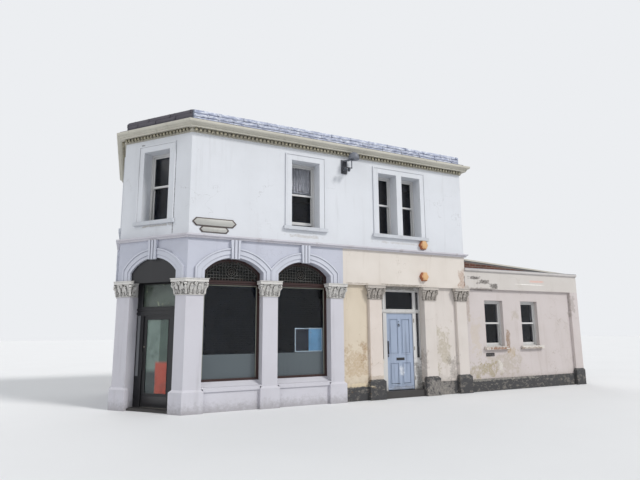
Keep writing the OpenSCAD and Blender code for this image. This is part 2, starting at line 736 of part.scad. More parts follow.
module sash_panes(w, z, meet, y, raise = 0) {
    top = upper_light(w, z, meet);
    low = lower_light(w, z, meet, raise);
    y0 = y + sash_y + (sash_t - thin_pane) / 2;
    block(top[0], [y0, y0 + thin_pane], top[1]);
    block(low[0], [y0 + sash_t, y0 + sash_t + thin_pane], low[1]);
}
// Runs children once for each sliding window, with its place in $w, $z, $meet, $y and $raise
upper_z = [sill_z, head_z];
upper_meet = 5280;
module each_sash() {
    for (k = [0 : len(side_windows) - 1]) let ($w = side_windows[k], $z = upper_z, $meet = upper_meet, $y = sash_recess,
        $raise = k == 0 ? window_raise : 0) on_front(SIDE) children();
    let ($w = corner_window, $z = upper_z, $meet = upper_meet, $y = corner_sash_recess, $raise = 0) on_front(CORNER) children();
    for (w = main_windows) let ($w = w, $z = upper_z, $meet = upper_meet, $y = sash_recess, $raise = 0) on_front(MAIN) children();
    for (w = annex_windows_x) let ($w = w, $z = [annex_sill_z, annex_head_z], $meet = annex_meet, $y = annex_recess, $raise = 0)
        on_front(SIDE) children();
}
module sash_windows() color(c_render) each_sash() sash_window($w, $z, $meet, $y, $raise);
module window_glass() color(c_glass) {
    each_sash() sash_panes($w, $z, $meet, $y, $raise);
    side_frame_panes();
}

// Cornice with its bed mould, dentil band and crown
cornice_out = 240;
bed_z = 6430;
cornice_profile = concat(
    [[seam, wall_top], [seam, bed_z], [25, bed_z], [25, bed_z + 18], [40, bed_z + 18], [40, bed_z + 95],
     [150, bed_z + 95], [155, bed_z + 130], [170, bed_z + 135]],
    [for (k = [1 : 6]) [170 + 30 * (1 - cos(k * 15)), bed_z + 135 + 40 * sin(k * 15)]],
    [for (k = [1 : 6]) [200 + 40 * sin(k * 15), bed_z + 175 + 40 * (1 - cos(k * 15))]],
    [[cornice_out, bed_z + 250]]
);
cornice_return = 300;
module cornice() color(c_stone) swept(street_path(cornice_return), cornice_profile, first_cut = end_cut);

dentil_w = 55;
dentil_pitch = 100;
dentil_y = [-100, -40 - seam];
dentil_z = [bed_z + 22, bed_z + 95 - seam];
module dentil_row(i, from, to) {
    n = floor((to - from) / dentil_pitch);
    start = from + (to - from - (n - 1) * dentil_pitch - dentil_w) / 2;
    on_front(i) for (k = [0 : n - 1])
        block([start + k * dentil_pitch, start + k * dentil_pitch + dentil_w], dentil_y, dentil_z);
}
module dentils() color(c_stone) {
    dentil_row(MAIN, 0, main_len);
    dentil_row(CORNER, 0, corner_len);
    dentil_row(SIDE, 0, side_len);
}

// Lead-clad parapet and the flat roof behind it
parapet_face = 20;
parapet_t = 260;
function street_face(y) = [[main_x(back_y, y), back_y], corner_point(MAIN, y), corner_point(CORNER, y), [side_len, y]];
module parapet() color(c_lead) translate([0, 0, wall_top + seam]) linear_extrude(parapet_top - wall_top - seam)
    polygon(plan_between(street_face(parapet_face), street_face(parapet_face + parapet_t)));
roof_z = [6480, 6600];
module room_plan(t) {
    polygon([
        [main_x(inner_back_y, t), inner_back_y],
        corner_point(MAIN, t), corner_point(CORNER, t),
        [inner_end_x, t], [inner_end_x, inner_back_y]
    ]);
}
module roof_deck() color(c_lead) translate([0, 0, roof_z[0]]) linear_extrude(roof_z[1] - roof_z[0]) room_plan(wall_t + seam);
slab_t = 250;
module first_floor() color(c_floor) translate([0, 0, upper_floor_top - slab_t]) linear_extrude(slab_t) room_plan(wall_t + seam);
module ground_floor() color(c_floor) {
    linear_extrude(floor_top) room_plan(wall_t + seam);
    block([side_len, annex_inner_end], [annex_frieze_y[1], annex_back_y], [0, floor_top]);
}

// Plain walls at the end and at the back
module end_wall() color(c_render) {
    block([inner_end_x, side_len], [wall_t, inner_back_y], [0, parapet_top]);
    block([inner_end_x, side_len], [parapet_face + parapet_t, wall_t], [wall_top, parapet_top]);
}

// Low annex
annex_face_t = 300;
annex_back_y = annex_depth - party_t;
annex_inner_end = annex_end_x - party_t;
annex_frieze_y = [0, annex_wall_y + annex_face_t];
coping_h = 110;
coping_out = 50;
coping_back = 190;
annex_frieze_top = annex_top - coping_h;
module annex_front_wall() color(c_blush) {
    block([side_len, annex_end_x], annex_frieze_y, [annex_frieze_z, annex_frieze_top]);
    difference() {
        block([side_len, annex_end_x], [annex_wall_y, annex_frieze_y[1]], [0, annex_frieze_z]);
        for (w = annex_windows_x)
            block(w, [annex_wall_y - over, annex_frieze_y[1] + over], [annex_sill_z - sill_h, annex_head_z]);
    }
    block([annex_pilaster_x, annex_end_x], [0, annex_wall_y], [0, annex_frieze_z]);
    low_plinth(side_len, annex_pilaster_x);
    intersection() {
        plinth(SIDE, annex_pilaster_x, SIDE, annex_end_x);
        block([side_len, annex_end_x], [-wall_t, wall_t], [0, plinth_h]);
    }
}

// Annex roof, which falls along the street, and the walls that follow it
annex_roof_t = 90;
function roof_underside(x) = annex_top + annex_fall - annex_roof_t - annex_fall * (x - side_len) / annex_len;
module annex_slope_outline(x0, x1, low) {
    polygon([[x0, low], [x1, low], [x1, roof_underside(x1) - seam], [x0, roof_underside(x0) - seam]]);
}
module annex_end_wall() color(c_blush)
    upright(annex_frieze_y[1], annex_depth) annex_slope_outline(annex_inner_end, annex_end_x, 0);
module annex_verge_wall() color(c_brick)
    upright(coping_back, annex_frieze_y[1]) annex_slope_outline(side_len, annex_end_x, annex_frieze_top);
module annex_roof() color(c_lead) upright(coping_back, annex_depth) polygon([
    [side_len, roof_underside(side_len)], [annex_end_x, roof_underside(annex_end_x)],
    [annex_end_x, roof_underside(annex_end_x) + annex_roof_t], [side_len, roof_underside(side_len) + annex_roof_t]
]);
module annex_coping() color(c_render)
    translate([side_len, 0, 0]) rotate([90, 0, 90]) linear_extrude(annex_len)
        polygon([[-coping_out, annex_frieze_top + 25], [-20, annex_frieze_top], [coping_back, annex_frieze_top],
                 [coping_back, annex_top], [-30, annex_top - 10], [-coping_out, annex_top - 30]]);

// Plain walls shared with the neighbours: behind the shop and behind the annex
module party_walls() color(c_brick) {
    linear_extrude(wall_top) party_plan(wall_t + seam);
    translate([0, 0, wall_top]) linear_extrude(parapet_top - wall_top) party_plan(parapet_face + parapet_t + seam);
    upright(annex_back_y, annex_depth) annex_slope_outline(side_len, annex_inner_end, 0);
}
module party_plan(t) {
    polygon([
        [main_x(back_y, t), back_y], [main_x(inner_back_y, t), inner_back_y], [side_len, inner_back_y], [side_len, back_y]
    ]);
}

// Sills of all the sliding windows
annex_sill_lug = 100;
module annex_sills() for (w = annex_windows_x) {
    z = [annex_sill_z - sill_h, annex_sill_z];
    block([w[0] - annex_sill_lug, w[1] + annex_sill_lug], [annex_wall_y - sill_h, annex_wall_y], z);
    block(w, [annex_wall_y, annex_frieze_y[1]], z);
}
module window_sills() color(c_stone) {
    upper_sills();
    annex_sills();
}

// Hexagonal alarm boxes with a bevelled front, and the lamp under the cornice
alarm_spots = [[6640, 4150], [6620, 3250]];
alarm_r = 140;
alarm_front_r = 118;
alarm_d = 75;
alarm_bevel = 25;
module alarm_boxes() color(c_alarm) on_front(SIDE)
    for (p = alarm_spots) translate([p[0], 0, p[1]]) rotate([90, 0, 0]) {
        cylinder(h = alarm_d, r = alarm_r, $fn = 6);
        translate([0, 0, alarm_d]) cylinder(h = alarm_bevel, r1 = alarm_r, r2 = alarm_front_r, $fn = 6);
    }

lamp_x = 4095;
lamp_back = [[-85, 85], [-30, 0], [5940, 6320]];
// Round hood, with the arm that carries it and a stem down to the twin heads
hood_at = [165, -265];
hood_r = 150;
hood_z = 6300;
hood_rim_h = 35;
hood_h = 195;
arm_w = 40;
arm_z = [6280, 6320];
stem_at = [105, -250];
stem_d = 30;
head_x = [-115, 15];
head_d = 72;
head_h = 85;
head_z0 = 5950;
bar_w = 24;
bar_h = 20;
// Outline of half the hood, as [radius, height]
hood_outline = concat([[0, 0], [hood_r, 0]],
    [for (k = [0 : 7]) [hood_r * cos(k * 90 / 8), hood_rim_h + (hood_h - hood_rim_h) * sin(k * 90 / 8)]], [[0, hood_h]]);
module wall_lamp() color(c_black) on_front(SIDE) translate([lamp_x, 0, 0]) {
    block(lamp_back[0], lamp_back[1], lamp_back[2]);
    rotate([0, 0, atan2(hood_at[1], hood_at[0])]) block([arm_w / 2, norm(hood_at)], [-arm_w / 2, arm_w / 2], arm_z);
    translate([hood_at[0], hood_at[1], hood_z]) rotate_extrude() polygon(hood_outline);
    translate([stem_at[0], stem_at[1], head_z0 + head_h]) cylinder(h = hood_z + bar_h - head_z0 - head_h, d = stem_d);
    block([head_x[0] - bar_w / 2, stem_at[0] + bar_w / 2], [stem_at[1] - bar_w / 2, stem_at[1] + bar_w / 2],
        [head_z0 + head_h, head_z0 + head_h + bar_h]);
    for (x = head_x) translate([x, stem_at[1], head_z0]) cylinder(h = head_h + bar_h / 2, d = head_d);
}

corner_pier();
arcade_piers();
main_pier();
capitals();
side_arcade();
corner_arcade();
main_arcade();
arch_mouldings();
stallrisers();
shop_window_frames();
shop_glass();
corner_door_frame();
corner_sign_board();
corner_door();
corner_door_glass();
side_wall_left();
side_wall_right();
side_frieze();
door_steps();
side_door_frame();
side_door();
side_door_furniture();
string_course();
upper_side_wall();
upper_corner_wall();
upper_main_wall();
architraves();
window_sills();
sash_windows();
window_glass();
cornice();
dentils();
parapet();
roof_deck();
first_floor();
ground_floor();
end_wall();
party_walls();
annex_front_wall();
annex_end_wall();
annex_coping();
annex_verge_wall();
annex_roof();
alarm_boxes();
wall_lamp();
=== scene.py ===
"""Finishes and fine pieces for a corner shop building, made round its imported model."""
import math
import random

import bmesh
import bpy
from mathutils import Matrix, Vector


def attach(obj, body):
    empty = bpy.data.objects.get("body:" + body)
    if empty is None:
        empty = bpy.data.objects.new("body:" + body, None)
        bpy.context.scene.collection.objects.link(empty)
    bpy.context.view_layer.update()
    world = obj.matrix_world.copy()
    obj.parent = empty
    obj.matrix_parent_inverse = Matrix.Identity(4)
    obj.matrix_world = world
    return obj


bl_info = {
    "name": "Corner shop building",
    "version": (1, 0, 0),
    "blender": (4, 5, 0),
    "location": "View3D > Sidebar > Corner shop",
    "description": "Painted, carved and leaded pieces of a corner shop building",
    "category": "Object",
}

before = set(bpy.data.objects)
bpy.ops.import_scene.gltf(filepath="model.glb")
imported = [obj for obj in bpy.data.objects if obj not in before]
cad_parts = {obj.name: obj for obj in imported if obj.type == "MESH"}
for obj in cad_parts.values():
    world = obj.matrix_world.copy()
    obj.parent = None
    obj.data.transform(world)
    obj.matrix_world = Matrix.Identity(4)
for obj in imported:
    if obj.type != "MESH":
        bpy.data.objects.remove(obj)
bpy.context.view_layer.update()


def tint(red, green, blue):
    """A colour given from 0 to 255, as on a paint chart, turned into linear light."""
    def linear(level):
        level /= 255
        return level / 12.92 if level <= 0.04045 else ((level + 0.055) / 1.055) ** 2.4
    return (linear(red), linear(green), linear(blue), 1.0)


# Street fronts, each drawn in its own frame: x along the wall as seen from outside,
# y inwards from the wall face, z up
MAIN, CORNER, SIDE = 0, 1, 2
FRONT_NAMES = ("main", "corner", "side")
FRONT_LENGTH = (3.99, 2.06, 8.15)
CORNER_TURN = 50.7
MAIN_TURN = 45.7
HEADING = (-CORNER_TURN - MAIN_TURN, -CORNER_TURN, 0)


def along(angle, length):
    return Vector((length * math.cos(math.radians(angle)), length * math.sin(math.radians(angle)), 0))


CORNER_START = -along(HEADING[CORNER], FRONT_LENGTH[CORNER])
MAIN_START = CORNER_START - along(HEADING[MAIN], FRONT_LENGTH[MAIN])
STARTS = (MAIN_START, CORNER_START, Vector((0, 0, 0)))


def front(i):
    """The frame of a street front."""
    return Matrix.Translation(STARTS[i]) @ Matrix.Rotation(math.radians(HEADING[i]), 4, "Z")


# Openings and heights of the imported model, in metres
SIDE_BAYS = ((0.4, 1.825), (2.21, 3.655))
MAIN_BAYS = ((0.335, 1.78), (2.165, 3.59))
CORNER_BAY = (0.4, 1.76)
SHOP_BAYS = tuple((SIDE, bay) for bay in SIDE_BAYS) + tuple((MAIN, bay) for bay in MAIN_BAYS)
ARCADE_END = 4.025
PILASTERS = ((4.82, 5.2), (6.625, 7.0), (7.785, 8.15))
PIER_TOP = 2.96
ARCH_RISE = 0.33
ARCH_CROWN = 3.48
SHOP_JAMB = 0.06
SHOP_GLASS_Y = 0.285
PANEL_RECESS = 0.08
VOLUTE_Z = 2.84
VOLUTE_OUT = 0.038
ROOF_TOP = 6.6
UPPER_Z = (4.37, 6.115)
UPPER_MEET = 5.28
ANNEX_Z = (1.27, 2.64)
ANNEX_MEET = 1.96
STREET_RECESS, CORNER_RECESS, ANNEX_RECESS = 0.3, 0.25, 0.19
# Sliding windows: front, opening along the wall, sill and head, meeting rail, recess, and how far
# the lower sash is raised
WINDOWS = (
    (SIDE, (2.56, 3.35), UPPER_Z, UPPER_MEET, STREET_RECESS, 0.09),
    (SIDE, (5.18, 5.79), UPPER_Z, UPPER_MEET, STREET_RECESS, 0.0),
    (SIDE, (5.965, 6.61), UPPER_Z, UPPER_MEET, STREET_RECESS, 0.0),
    (CORNER, (0.64, 1.43), UPPER_Z, UPPER_MEET, CORNER_RECESS, 0.0),
    (MAIN, (0.662, 1.452), UPPER_Z, UPPER_MEET, STREET_RECESS, 0.0),
    (MAIN, (2.482, 3.272), UPPER_Z, UPPER_MEET, STREET_RECESS, 0.0),
    (SIDE, (8.93, 9.67), ANNEX_Z, ANNEX_MEET, ANNEX_RECESS, 0.0),
    (SIDE, (10.44, 11.17), ANNEX_Z, ANNEX_MEET, ANNEX_RECESS, 0.0),
)
BOX_WIDTH = 0.045
SASH_WIDTH = 0.045
SASH_DEPTH = 0.035
SASH_SET = 0.015
HORN_WIDTH = 0.040
ANNEX_START = 8.15
ANNEX_LENGTH = 4.88
ANNEX_ROOF_TOP = 3.89
ANNEX_FALL = 0.29
COPING_BACK = 0.19

# Where the painted plinth and the room sides of the walls begin
WALL_PLINTH_TOP = 0.352
PILASTER_PLINTH_TOP = 0.512
PANEL_FACE_Y = 0.0785
ROOM_DEPTH = 0.393
SHOP_CEILING = 6.47
ANNEX_CEILING = 3.52
SHOP_BACK = 5.4592
ANNEX_BACK = 4.1


# Modelling helpers

# The turn that makes a level shape face the street
UPRIGHT = (math.pi / 2, 0, 0)


def about(middle, reach):
    """The two places at one distance from a middle."""
    return (middle - reach, middle + reach)


def clear_selection():
    if bpy.context.object and bpy.context.object.mode != "OBJECT":
        bpy.ops.object.mode_set(mode="OBJECT")
    bpy.ops.object.select_all(action="DESELECT")


def hold(piece):
    """Makes a piece the only selected and the active one."""
    clear_selection()
    piece.select_set(True)
    bpy.context.view_layer.objects.active = piece


def named(name):
    piece = bpy.context.object
    piece.name = piece.data.name = name
    bpy.ops.object.transform_apply()
    return piece


def block(name, x, y, z):
    """A box between two places on each axis, to be shaped further."""
    clear_selection()
    middle = ((x[0] + x[1]) / 2, (y[0] + y[1]) / 2, (z[0] + z[1]) / 2)
    bpy.ops.mesh.primitive_cube_add(size=1, location=middle, scale=(x[1] - x[0], y[1] - y[0], z[1] - z[0]))
    return named(name)


def rod(name, radius, start, end, vertices=12):
    """A round bar from one point to another."""
    clear_selection()
    start, end = Vector(start), Vector(end)
    run = end - start
    turn = run.to_track_quat("Z", "Y").to_euler()
    bpy.ops.mesh.primitive_cylinder_add(vertices=vertices, radius=radius, depth=run.length,
                                        location=(start + end) / 2, rotation=turn)
    return named(name)


def disc(name, radius, x, z, y, thickness, vertices=32):
    """A round plate that faces the street, between y and y + thickness."""
    return rod(name, radius, (x, y, z), (x, y + thickness, z), vertices)


def ring(name, reach, radius, place, segments):
    """A round ring that faces the street."""
    clear_selection()
    around, across = segments
    bpy.ops.mesh.primitive_torus_add(major_segments=around, minor_segments=across, major_radius=reach,
                                     minor_radius=radius, location=place, rotation=UPRIGHT)
    return named(name)


def grid(name, columns, rows):
    clear_selection()
    bpy.ops.mesh.primitive_grid_add(x_subdivisions=columns, y_subdivisions=rows, size=1)
    return named(name)


def start_edit(piece, action="DESELECT"):
    hold(piece)
    bpy.ops.object.mode_set(mode="EDIT")
    bpy.ops.mesh.select_mode(type="FACE")
    bpy.ops.mesh.select_all(action=action)


def end_edit():
    bpy.ops.object.mode_set(mode="OBJECT")


def pick_faces(piece, test):
    """Selects the faces whose centre and normal pass a test."""
    mesh = bmesh.from_edit_mesh(piece.data)
    for face in mesh.faces:
        face.select_set(bool(test(face.calc_center_median(), face.normal)))
    mesh.select_flush_mode()
    bmesh.update_edit_mesh(piece.data)


def underside(centre, normal):
    return normal.z < -0.9


def street_side(centre, normal):
    return normal.y < -0.9


def back_side(centre, normal):
    return normal.y > 0.9


def ends(centre, normal):
    return abs(normal.x) > 0.9


def reshaped(piece, test, tool, **settings):
    """Uses one tool on the faces that pass a test."""
    start_edit(piece)
    pick_faces(piece, test)
    tool(**settings)
    end_edit()
    return piece


def pushed(piece, test, way):
    return reshaped(piece, test, bpy.ops.transform.translate, value=way)


def finish_with(piece, kind, **settings):
    """Adds one modifier and applies it."""
    hold(piece)
    modifier = piece.modifiers.new(kind.title(), kind)
    for name, value in settings.items():
        setattr(modifier, name, value)
    bpy.ops.object.modifier_apply(modifier=modifier.name)
    return piece


def eased(piece, width):
    """Rounds a piece's sharp edges."""
    return finish_with(piece, "BEVEL", width=width, segments=2, limit_method="ANGLE",
                       angle_limit=math.radians(30), harden_normals=False)


def outwards(piece):
    """Turns a piece's faces outwards."""
    start_edit(piece, "SELECT")
    bpy.ops.mesh.normals_make_consistent(inside=False)
    end_edit()
    return piece


def smooth(piece, degrees=35):
    hold(piece)
    bpy.ops.object.shade_smooth_by_angle(angle=math.radians(degrees))
    return piece


def copy_at(piece, place):
    """A copy with its own mesh, moved by a matrix."""
    twin = piece.copy()
    twin.data = piece.data.copy()
    bpy.context.scene.collection.objects.link(twin)
    twin.data.transform(place)
    return twin


def remove(*pieces):
    for piece in pieces:
        bpy.data.objects.remove(piece)


def joined(name, pieces):
    """Joins pieces into one, named."""
    clear_selection()
    for piece in pieces:
        piece.select_set(True)
    bpy.context.view_layer.objects.active = pieces[0]
    if len(pieces) > 1:
        bpy.ops.object.join()
    whole = bpy.context.view_layer.objects.active
    whole.name = whole.data.name = name
    return whole


def standing(piece, i):
    """Moves a piece drawn in a front's frame to that front."""
    piece.data.transform(front(i))
    return piece


def fit(piece, finish, body="building"):
    """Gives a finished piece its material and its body."""
    if finish:
        piece.data.materials.clear()
        piece.data.materials.append(FINISHES[finish])
    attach(piece, body)


def fit_joined(name, pieces, finish, body="building", at=SIDE):
    """Joins pieces, stands them at their front, smooths them and fits them."""
    fit(smooth(standing(joined(name, pieces), at)), finish, body)


def bar(name, x, y, z, ease=0.004):
    """A straight bar with rounded edges."""
    return eased(block(name, x, y, z), ease)


def moulded_frame(name, x, y, z, width, slope=0.0):
    """A frame round an opening, drawn by its outer edges; slope sinks its inner edge."""
    clear_selection()
    bpy.ops.mesh.primitive_plane_add(size=1, location=((x[0] + x[1]) / 2, y[0], (z[0] + z[1]) / 2),
                                     rotation=UPRIGHT)
    bpy.context.object.scale = (x[1] - x[0], z[1] - z[0], 1)
    border = named(name)
    start_edit(border, "SELECT")
    bpy.ops.mesh.inset(thickness=width * 0.45, depth=0)
    bpy.ops.mesh.inset(thickness=width * 0.55, depth=-slope)
    bpy.ops.mesh.delete(type="FACE")
    end_edit()
    finish_with(border, "SOLIDIFY", thickness=y[1] - y[0], offset=-1.0)
    outwards(border)
    return eased(border, min(0.003, width * 0.2))


# Shader helpers

class Field:
    """A value that varies over a surface: a shader socket, whose sums make maths nodes."""

    def __init__(self, socket):
        self.socket = socket

    def __add__(self, other):
        return maths("ADD", self, other)

    def __sub__(self, other):
        return maths("SUBTRACT", self, other)

    def __rsub__(self, other):
        return maths("SUBTRACT", other, self)

    def __mul__(self, other):
        return maths("MULTIPLY", self, other)

    def __truediv__(self, other):
        return maths("DIVIDE", self, other)

    def __gt__(self, other):
        return maths("GREATER_THAN", self, other)

    def __lt__(self, other):
        return maths("LESS_THAN", self, other)

    def __abs__(self):
        return maths("ABSOLUTE", self)


def fill(inputs, values):
    """Links each input to its field, or sets it to its constant."""
    for name, value in values.items():
        if isinstance(value, Field):
            inputs[name].id_data.links.new(value.socket, inputs[name])
        else:
            inputs[name].default_value = value


def shader(tree, kind, values=None, **settings):
    """The outputs of a new node."""
    made = tree.nodes.new("ShaderNode" + kind)
    for name, value in settings.items():
        setattr(made, name, value)
    fill(made.inputs, values or {})
    return made.outputs


def field(kind, values, output=0, **settings):
    """One output of a new node, in the tree of the fields that it is given."""
    tree = next(value.socket.id_data for value in values.values() if isinstance(value, Field))
    return Field(shader(tree, kind, values, **settings)[output])


def maths(operation, *values):
    return field("Math", dict(enumerate(values)), operation=operation)


def most(one, other):
    return maths("MAXIMUM", one, other)


def vectors(operation, *values, output=0):
    return field("VectorMath", dict(enumerate(values)), output, operation=operation)


def blended(amount, one, other):
    """One colour mixed with another."""
    return field("Mix", {0: amount, 6: one, 7: other}, 2, data_type="RGBA")


def either(mask, one, other):
    """One value where a mask is off, another where it is on."""
    return field("Mix", {0: mask, 2: one, 3: other}, data_type="FLOAT")


def spread(value, low, high, out_low=0.0, out_high=1.0):
    """A value's range from low to high, mapped smoothly to another."""
    return field("MapRange", {0: value, 1: low, 2: high, 3: out_low, 4: out_high},
                 interpolation_type="SMOOTHSTEP")


def noise(place, scale, detail=4.0, roughness=0.55, stretch=None):
    """Noise on a place, which may be stretched first."""
    if stretch:
        place = field("Mapping", {"Vector": place, "Scale": stretch})
    values = {"Vector": place, "Scale": scale, "Detail": detail, "Roughness": roughness}
    return field("TexNoise", values, "Fac")


def parts_of(vector):
    return [Field(output) for output in shader(vector.socket.id_data, "SeparateXYZ", {0: vector})]


def own_place(tree):
    return Field(shader(tree, "TexCoord")["Object"])


def facing(tree):
    """The three parts of the surface's normal."""
    return parts_of(Field(shader(tree, "NewGeometry")["Normal"]))


def corner_front_place(place):
    """The object's own coordinates, drawn in the corner front's frame."""
    away = vectors("SUBTRACT", place, tuple(CORNER_START))
    return field("Mapping", {"Vector": away, "Rotation": (0, 0, math.radians(CORNER_TURN))})


def within(place, limits):
    """A mask of the places between two limits on each axis given."""
    parts = parts_of(place)
    mask = None
    for axis, (low, high) in limits.items():
        here = (parts[axis] > low) * (parts[axis] < high)
        mask = mask * here if mask else here
    return mask


def new_group(name, inputs, outputs):
    """A shader node group: its own coordinates, its inputs as fields, and what it has to fill."""
    tree = bpy.data.node_groups.new(name, "ShaderNodeTree")
    for way, sockets in (("INPUT", inputs), ("OUTPUT", outputs)):
        for kind, labels in sockets.items():
            for label in labels:
                tree.interface.new_socket(label, in_out=way, socket_type="NodeSocket" + kind)
    given = {socket.name: Field(socket) for socket in tree.nodes.new("NodeGroupInput").outputs}
    return own_place(tree), given, tree.nodes.new("NodeGroupOutput").inputs


def use_group(tree, name, values):
    """The outputs of a group that stands in a tree."""
    made = tree.nodes.new("ShaderNodeGroup")
    made.node_tree = bpy.data.node_groups[name]
    fill(made.inputs, values)
    return {socket.name: Field(socket) for socket in made.outputs}


def new_finish(name):
    """The main shader of a bare material, kept by its name, and the object's own coordinates."""
    material = FINISHES[name] = bpy.data.materials.new(name)
    material.use_nodes = True
    return material.node_tree.nodes["Principled BSDF"], own_place(material.node_tree)


def surface(main, colour, roughness, height, strength, distance=0.01):
    """Gives a material's main shader its colour, its roughness and its relief."""
    normal = field("Bump", {"Height": height, "Strength": strength, "Distance": distance})
    fill(main.inputs, {"Base Color": colour, "Roughness": roughness, "Normal": normal})


# Effects that several finishes share

def weathered_coat():
    """Patchy paint with grime in blotches, in runs and along its foot."""
    place, given, out = new_group(
        "Weathered coat",
        {"Color": ("Paint", "Grime"), "Float": ("Patchiness", "Streaks", "Foot", "Foot grime")},
        {"Color": ("Color",), "Float": ("Height", "Wear")})
    clean, grime = given["Paint"], given["Grime"]
    fine = noise(place, 14, 6, 0.65)
    patches = spread(noise(place, 0.9, 5), 0.35, 0.75) * given["Patchiness"]
    paint = blended(patches, clean, blended(0.22, clean, grime))
    runs = spread(noise(place, 5, 5, 0.6, (1, 1, 0.09)), 0.54, 0.78) * given["Streaks"]
    paint = blended(runs * 0.55, paint, grime)
    foot = (1.0 - parts_of(place)[2] / given["Foot"]) + (fine - 0.5) * 1.4
    foot = spread(foot, 0.05, 1.1) * given["Foot grime"]
    paint = blended(foot, paint, grime)
    specks = spread(fine, 0.66, 0.74) * given["Patchiness"]
    fill(out, {"Color": blended(specks * 0.35, paint, grime), "Wear": foot + runs,
               "Height": fine * 0.6 + noise(place, 90, 3, 0.7) * 0.4})


def peeled_patches():
    """Patches where the paint is off, with a dark rim."""
    place, given, out = new_group("Peeled patches", {"Color": ("Coat", "Bare"), "Float": ("Scale", "Amount")},
                                  {"Color": ("Color",), "Float": ("Mask",)})
    past = noise(place, given["Scale"], 8.0, 0.62) - (0.78 - given["Amount"] * 0.38)
    mask = spread(past, 0.0, 0.012)
    rim = spread(past, -0.02, 0.0) * (1.0 - mask)
    bare = blended(noise(place, 40, 5), given["Bare"], blended(0.5, given["Bare"], (0.5, 0.48, 0.45, 1)))
    peeled = blended(rim * 0.35, blended(mask, given["Coat"], bare), (0.12, 0.1, 0.09, 1))
    fill(out, {"Color": peeled, "Mask": mask})


def ragged_patch():
    """A mottled mask with a ragged edge round a middle."""
    given, out = new_group("Ragged patch", {"Vector": ("Place", "Middle", "Reach"), "Float": ("Raggedness",)},
                           {"Float": ("Mask",)})[1:]
    place = given["Place"]
    away = vectors("ABSOLUTE", vectors("SUBTRACT", place, given["Middle"]))
    away = parts_of(vectors("DIVIDE", away, given["Reach"]))
    far = most(most(away[0], away[1]), away[2]) + (noise(place, 7, 8, 0.7) - 0.5) * 5.0 * given["Raggedness"]
    mottle = spread(noise(place, 22, 7, 0.75), 0.36, 0.62, 0.4, 1.0)
    fill(out, {"Mask": spread(far, 1.05, 0.62) * mottle})


def hairline_cracks():
    """Thin wandering lines, here and there."""
    place, given, out = new_group("Hairline cracks", {"Float": ("Amount",)}, {"Float": ("Mask",)})
    bend = field("TexNoise", {"Vector": place, "Scale": 3.0, "Detail": 5.0}, "Color")
    seam = field("TexVoronoi", {"Vector": vectors("ADD", place, bend), "Scale": 0.8}, "Distance",
                 feature="DISTANCE_TO_EDGE")
    rare = spread(noise(place, 0.7, 3), 0.50, 0.62)
    fill(out, {"Mask": spread(seam, 0.006, 0.0) * rare * given["Amount"]})


def painted_plinth():
    """A dark flaking plinth, taller in front of the pilasters."""
    place, given, out = new_group("Painted plinth", {"Color": ("Coat", "Plinth", "Flake")},
                                  {"Color": ("Color",), "Float": ("Mask",)})
    parts = parts_of(place)
    height = parts[2] + (noise(place, 16, 6, 0.7) - 0.5) * 0.03
    tall = (height < PILASTER_PLINTH_TOP) * (parts[1] < PANEL_FACE_Y)
    mask = most(height < WALL_PLINTH_TOP, tall)
    flakes = spread(noise(place, 9, 9, 0.72, (1, 1, 1.6)), 0.52, 0.60)
    paint = blended(flakes, given["Plinth"], given["Flake"])
    paint = blended(spread(noise(place, 45, 4), 0.55, 0.7, 0.0, 0.5), paint, (0.02, 0.02, 0.02, 1))
    fill(out, {"Color": blended(mask, given["Coat"], paint), "Mask": mask * flakes})


def room_side():
    """A mask of the street walls' faces that look into the rooms."""
    place, _, out = new_group("Room side", {}, {"Float": ("Mask",)})
    depth = None
    for i in (MAIN, CORNER, SIDE):
        inwards = front(i).to_3x3() @ Vector((0, 1, 0))
        away = vectors("SUBTRACT", place, tuple(STARTS[i]))
        this = vectors("DOT_PRODUCT", away, tuple(inwards), output="Value")
        depth = maths("MINIMUM", depth, this) if depth else this
    fill(out, {"Mask": (depth > ROOM_DEPTH) * (parts_of(place)[2] < SHOP_CEILING)})


def hollow_shade_and_dirt():
    """Painted shade and dirt in hollows, found by ambient occlusion."""
    place, given, out = new_group("Hollow shade and dirt", {"Color": ("Coat", "Shade and dirt"), "Float": ("Reach", "Amount")},
                                  {"Color": ("Color",)})
    hollow = field("AmbientOcclusion", {"Distance": given["Reach"]}, "AO", samples=6)
    mask = spread(hollow + (noise(place, 30, 4) - 0.5) * 0.4, 0.95, 0.45) * given["Amount"]
    fill(out, {"Color": blended(mask, given["Coat"], given["Shade and dirt"])})


MORTAR_JOINT = 0.009
BRICK_LENGTH = 0.225
BRICK_COURSE = 0.075
BOARD_GAP = 0.004
BOARD_LENGTH = 2.4
BOARD_WIDTH = 0.14


def laid_rows(face, colours, gap, length, height, **more):
    """Bricks or boards laid in rows, as their colour and the mask of the gaps."""
    values = {"Vector": face, "Color1": colours[0], "Color2": colours[1], "Mortar": colours[2], "Scale": 1.0,
              "Mortar Size": gap, "Brick Width": length, "Row Height": height, **more}
    rows = shader(face.socket.id_data, "TexBrick", values)
    return Field(rows["Color"]), Field(rows["Fac"])


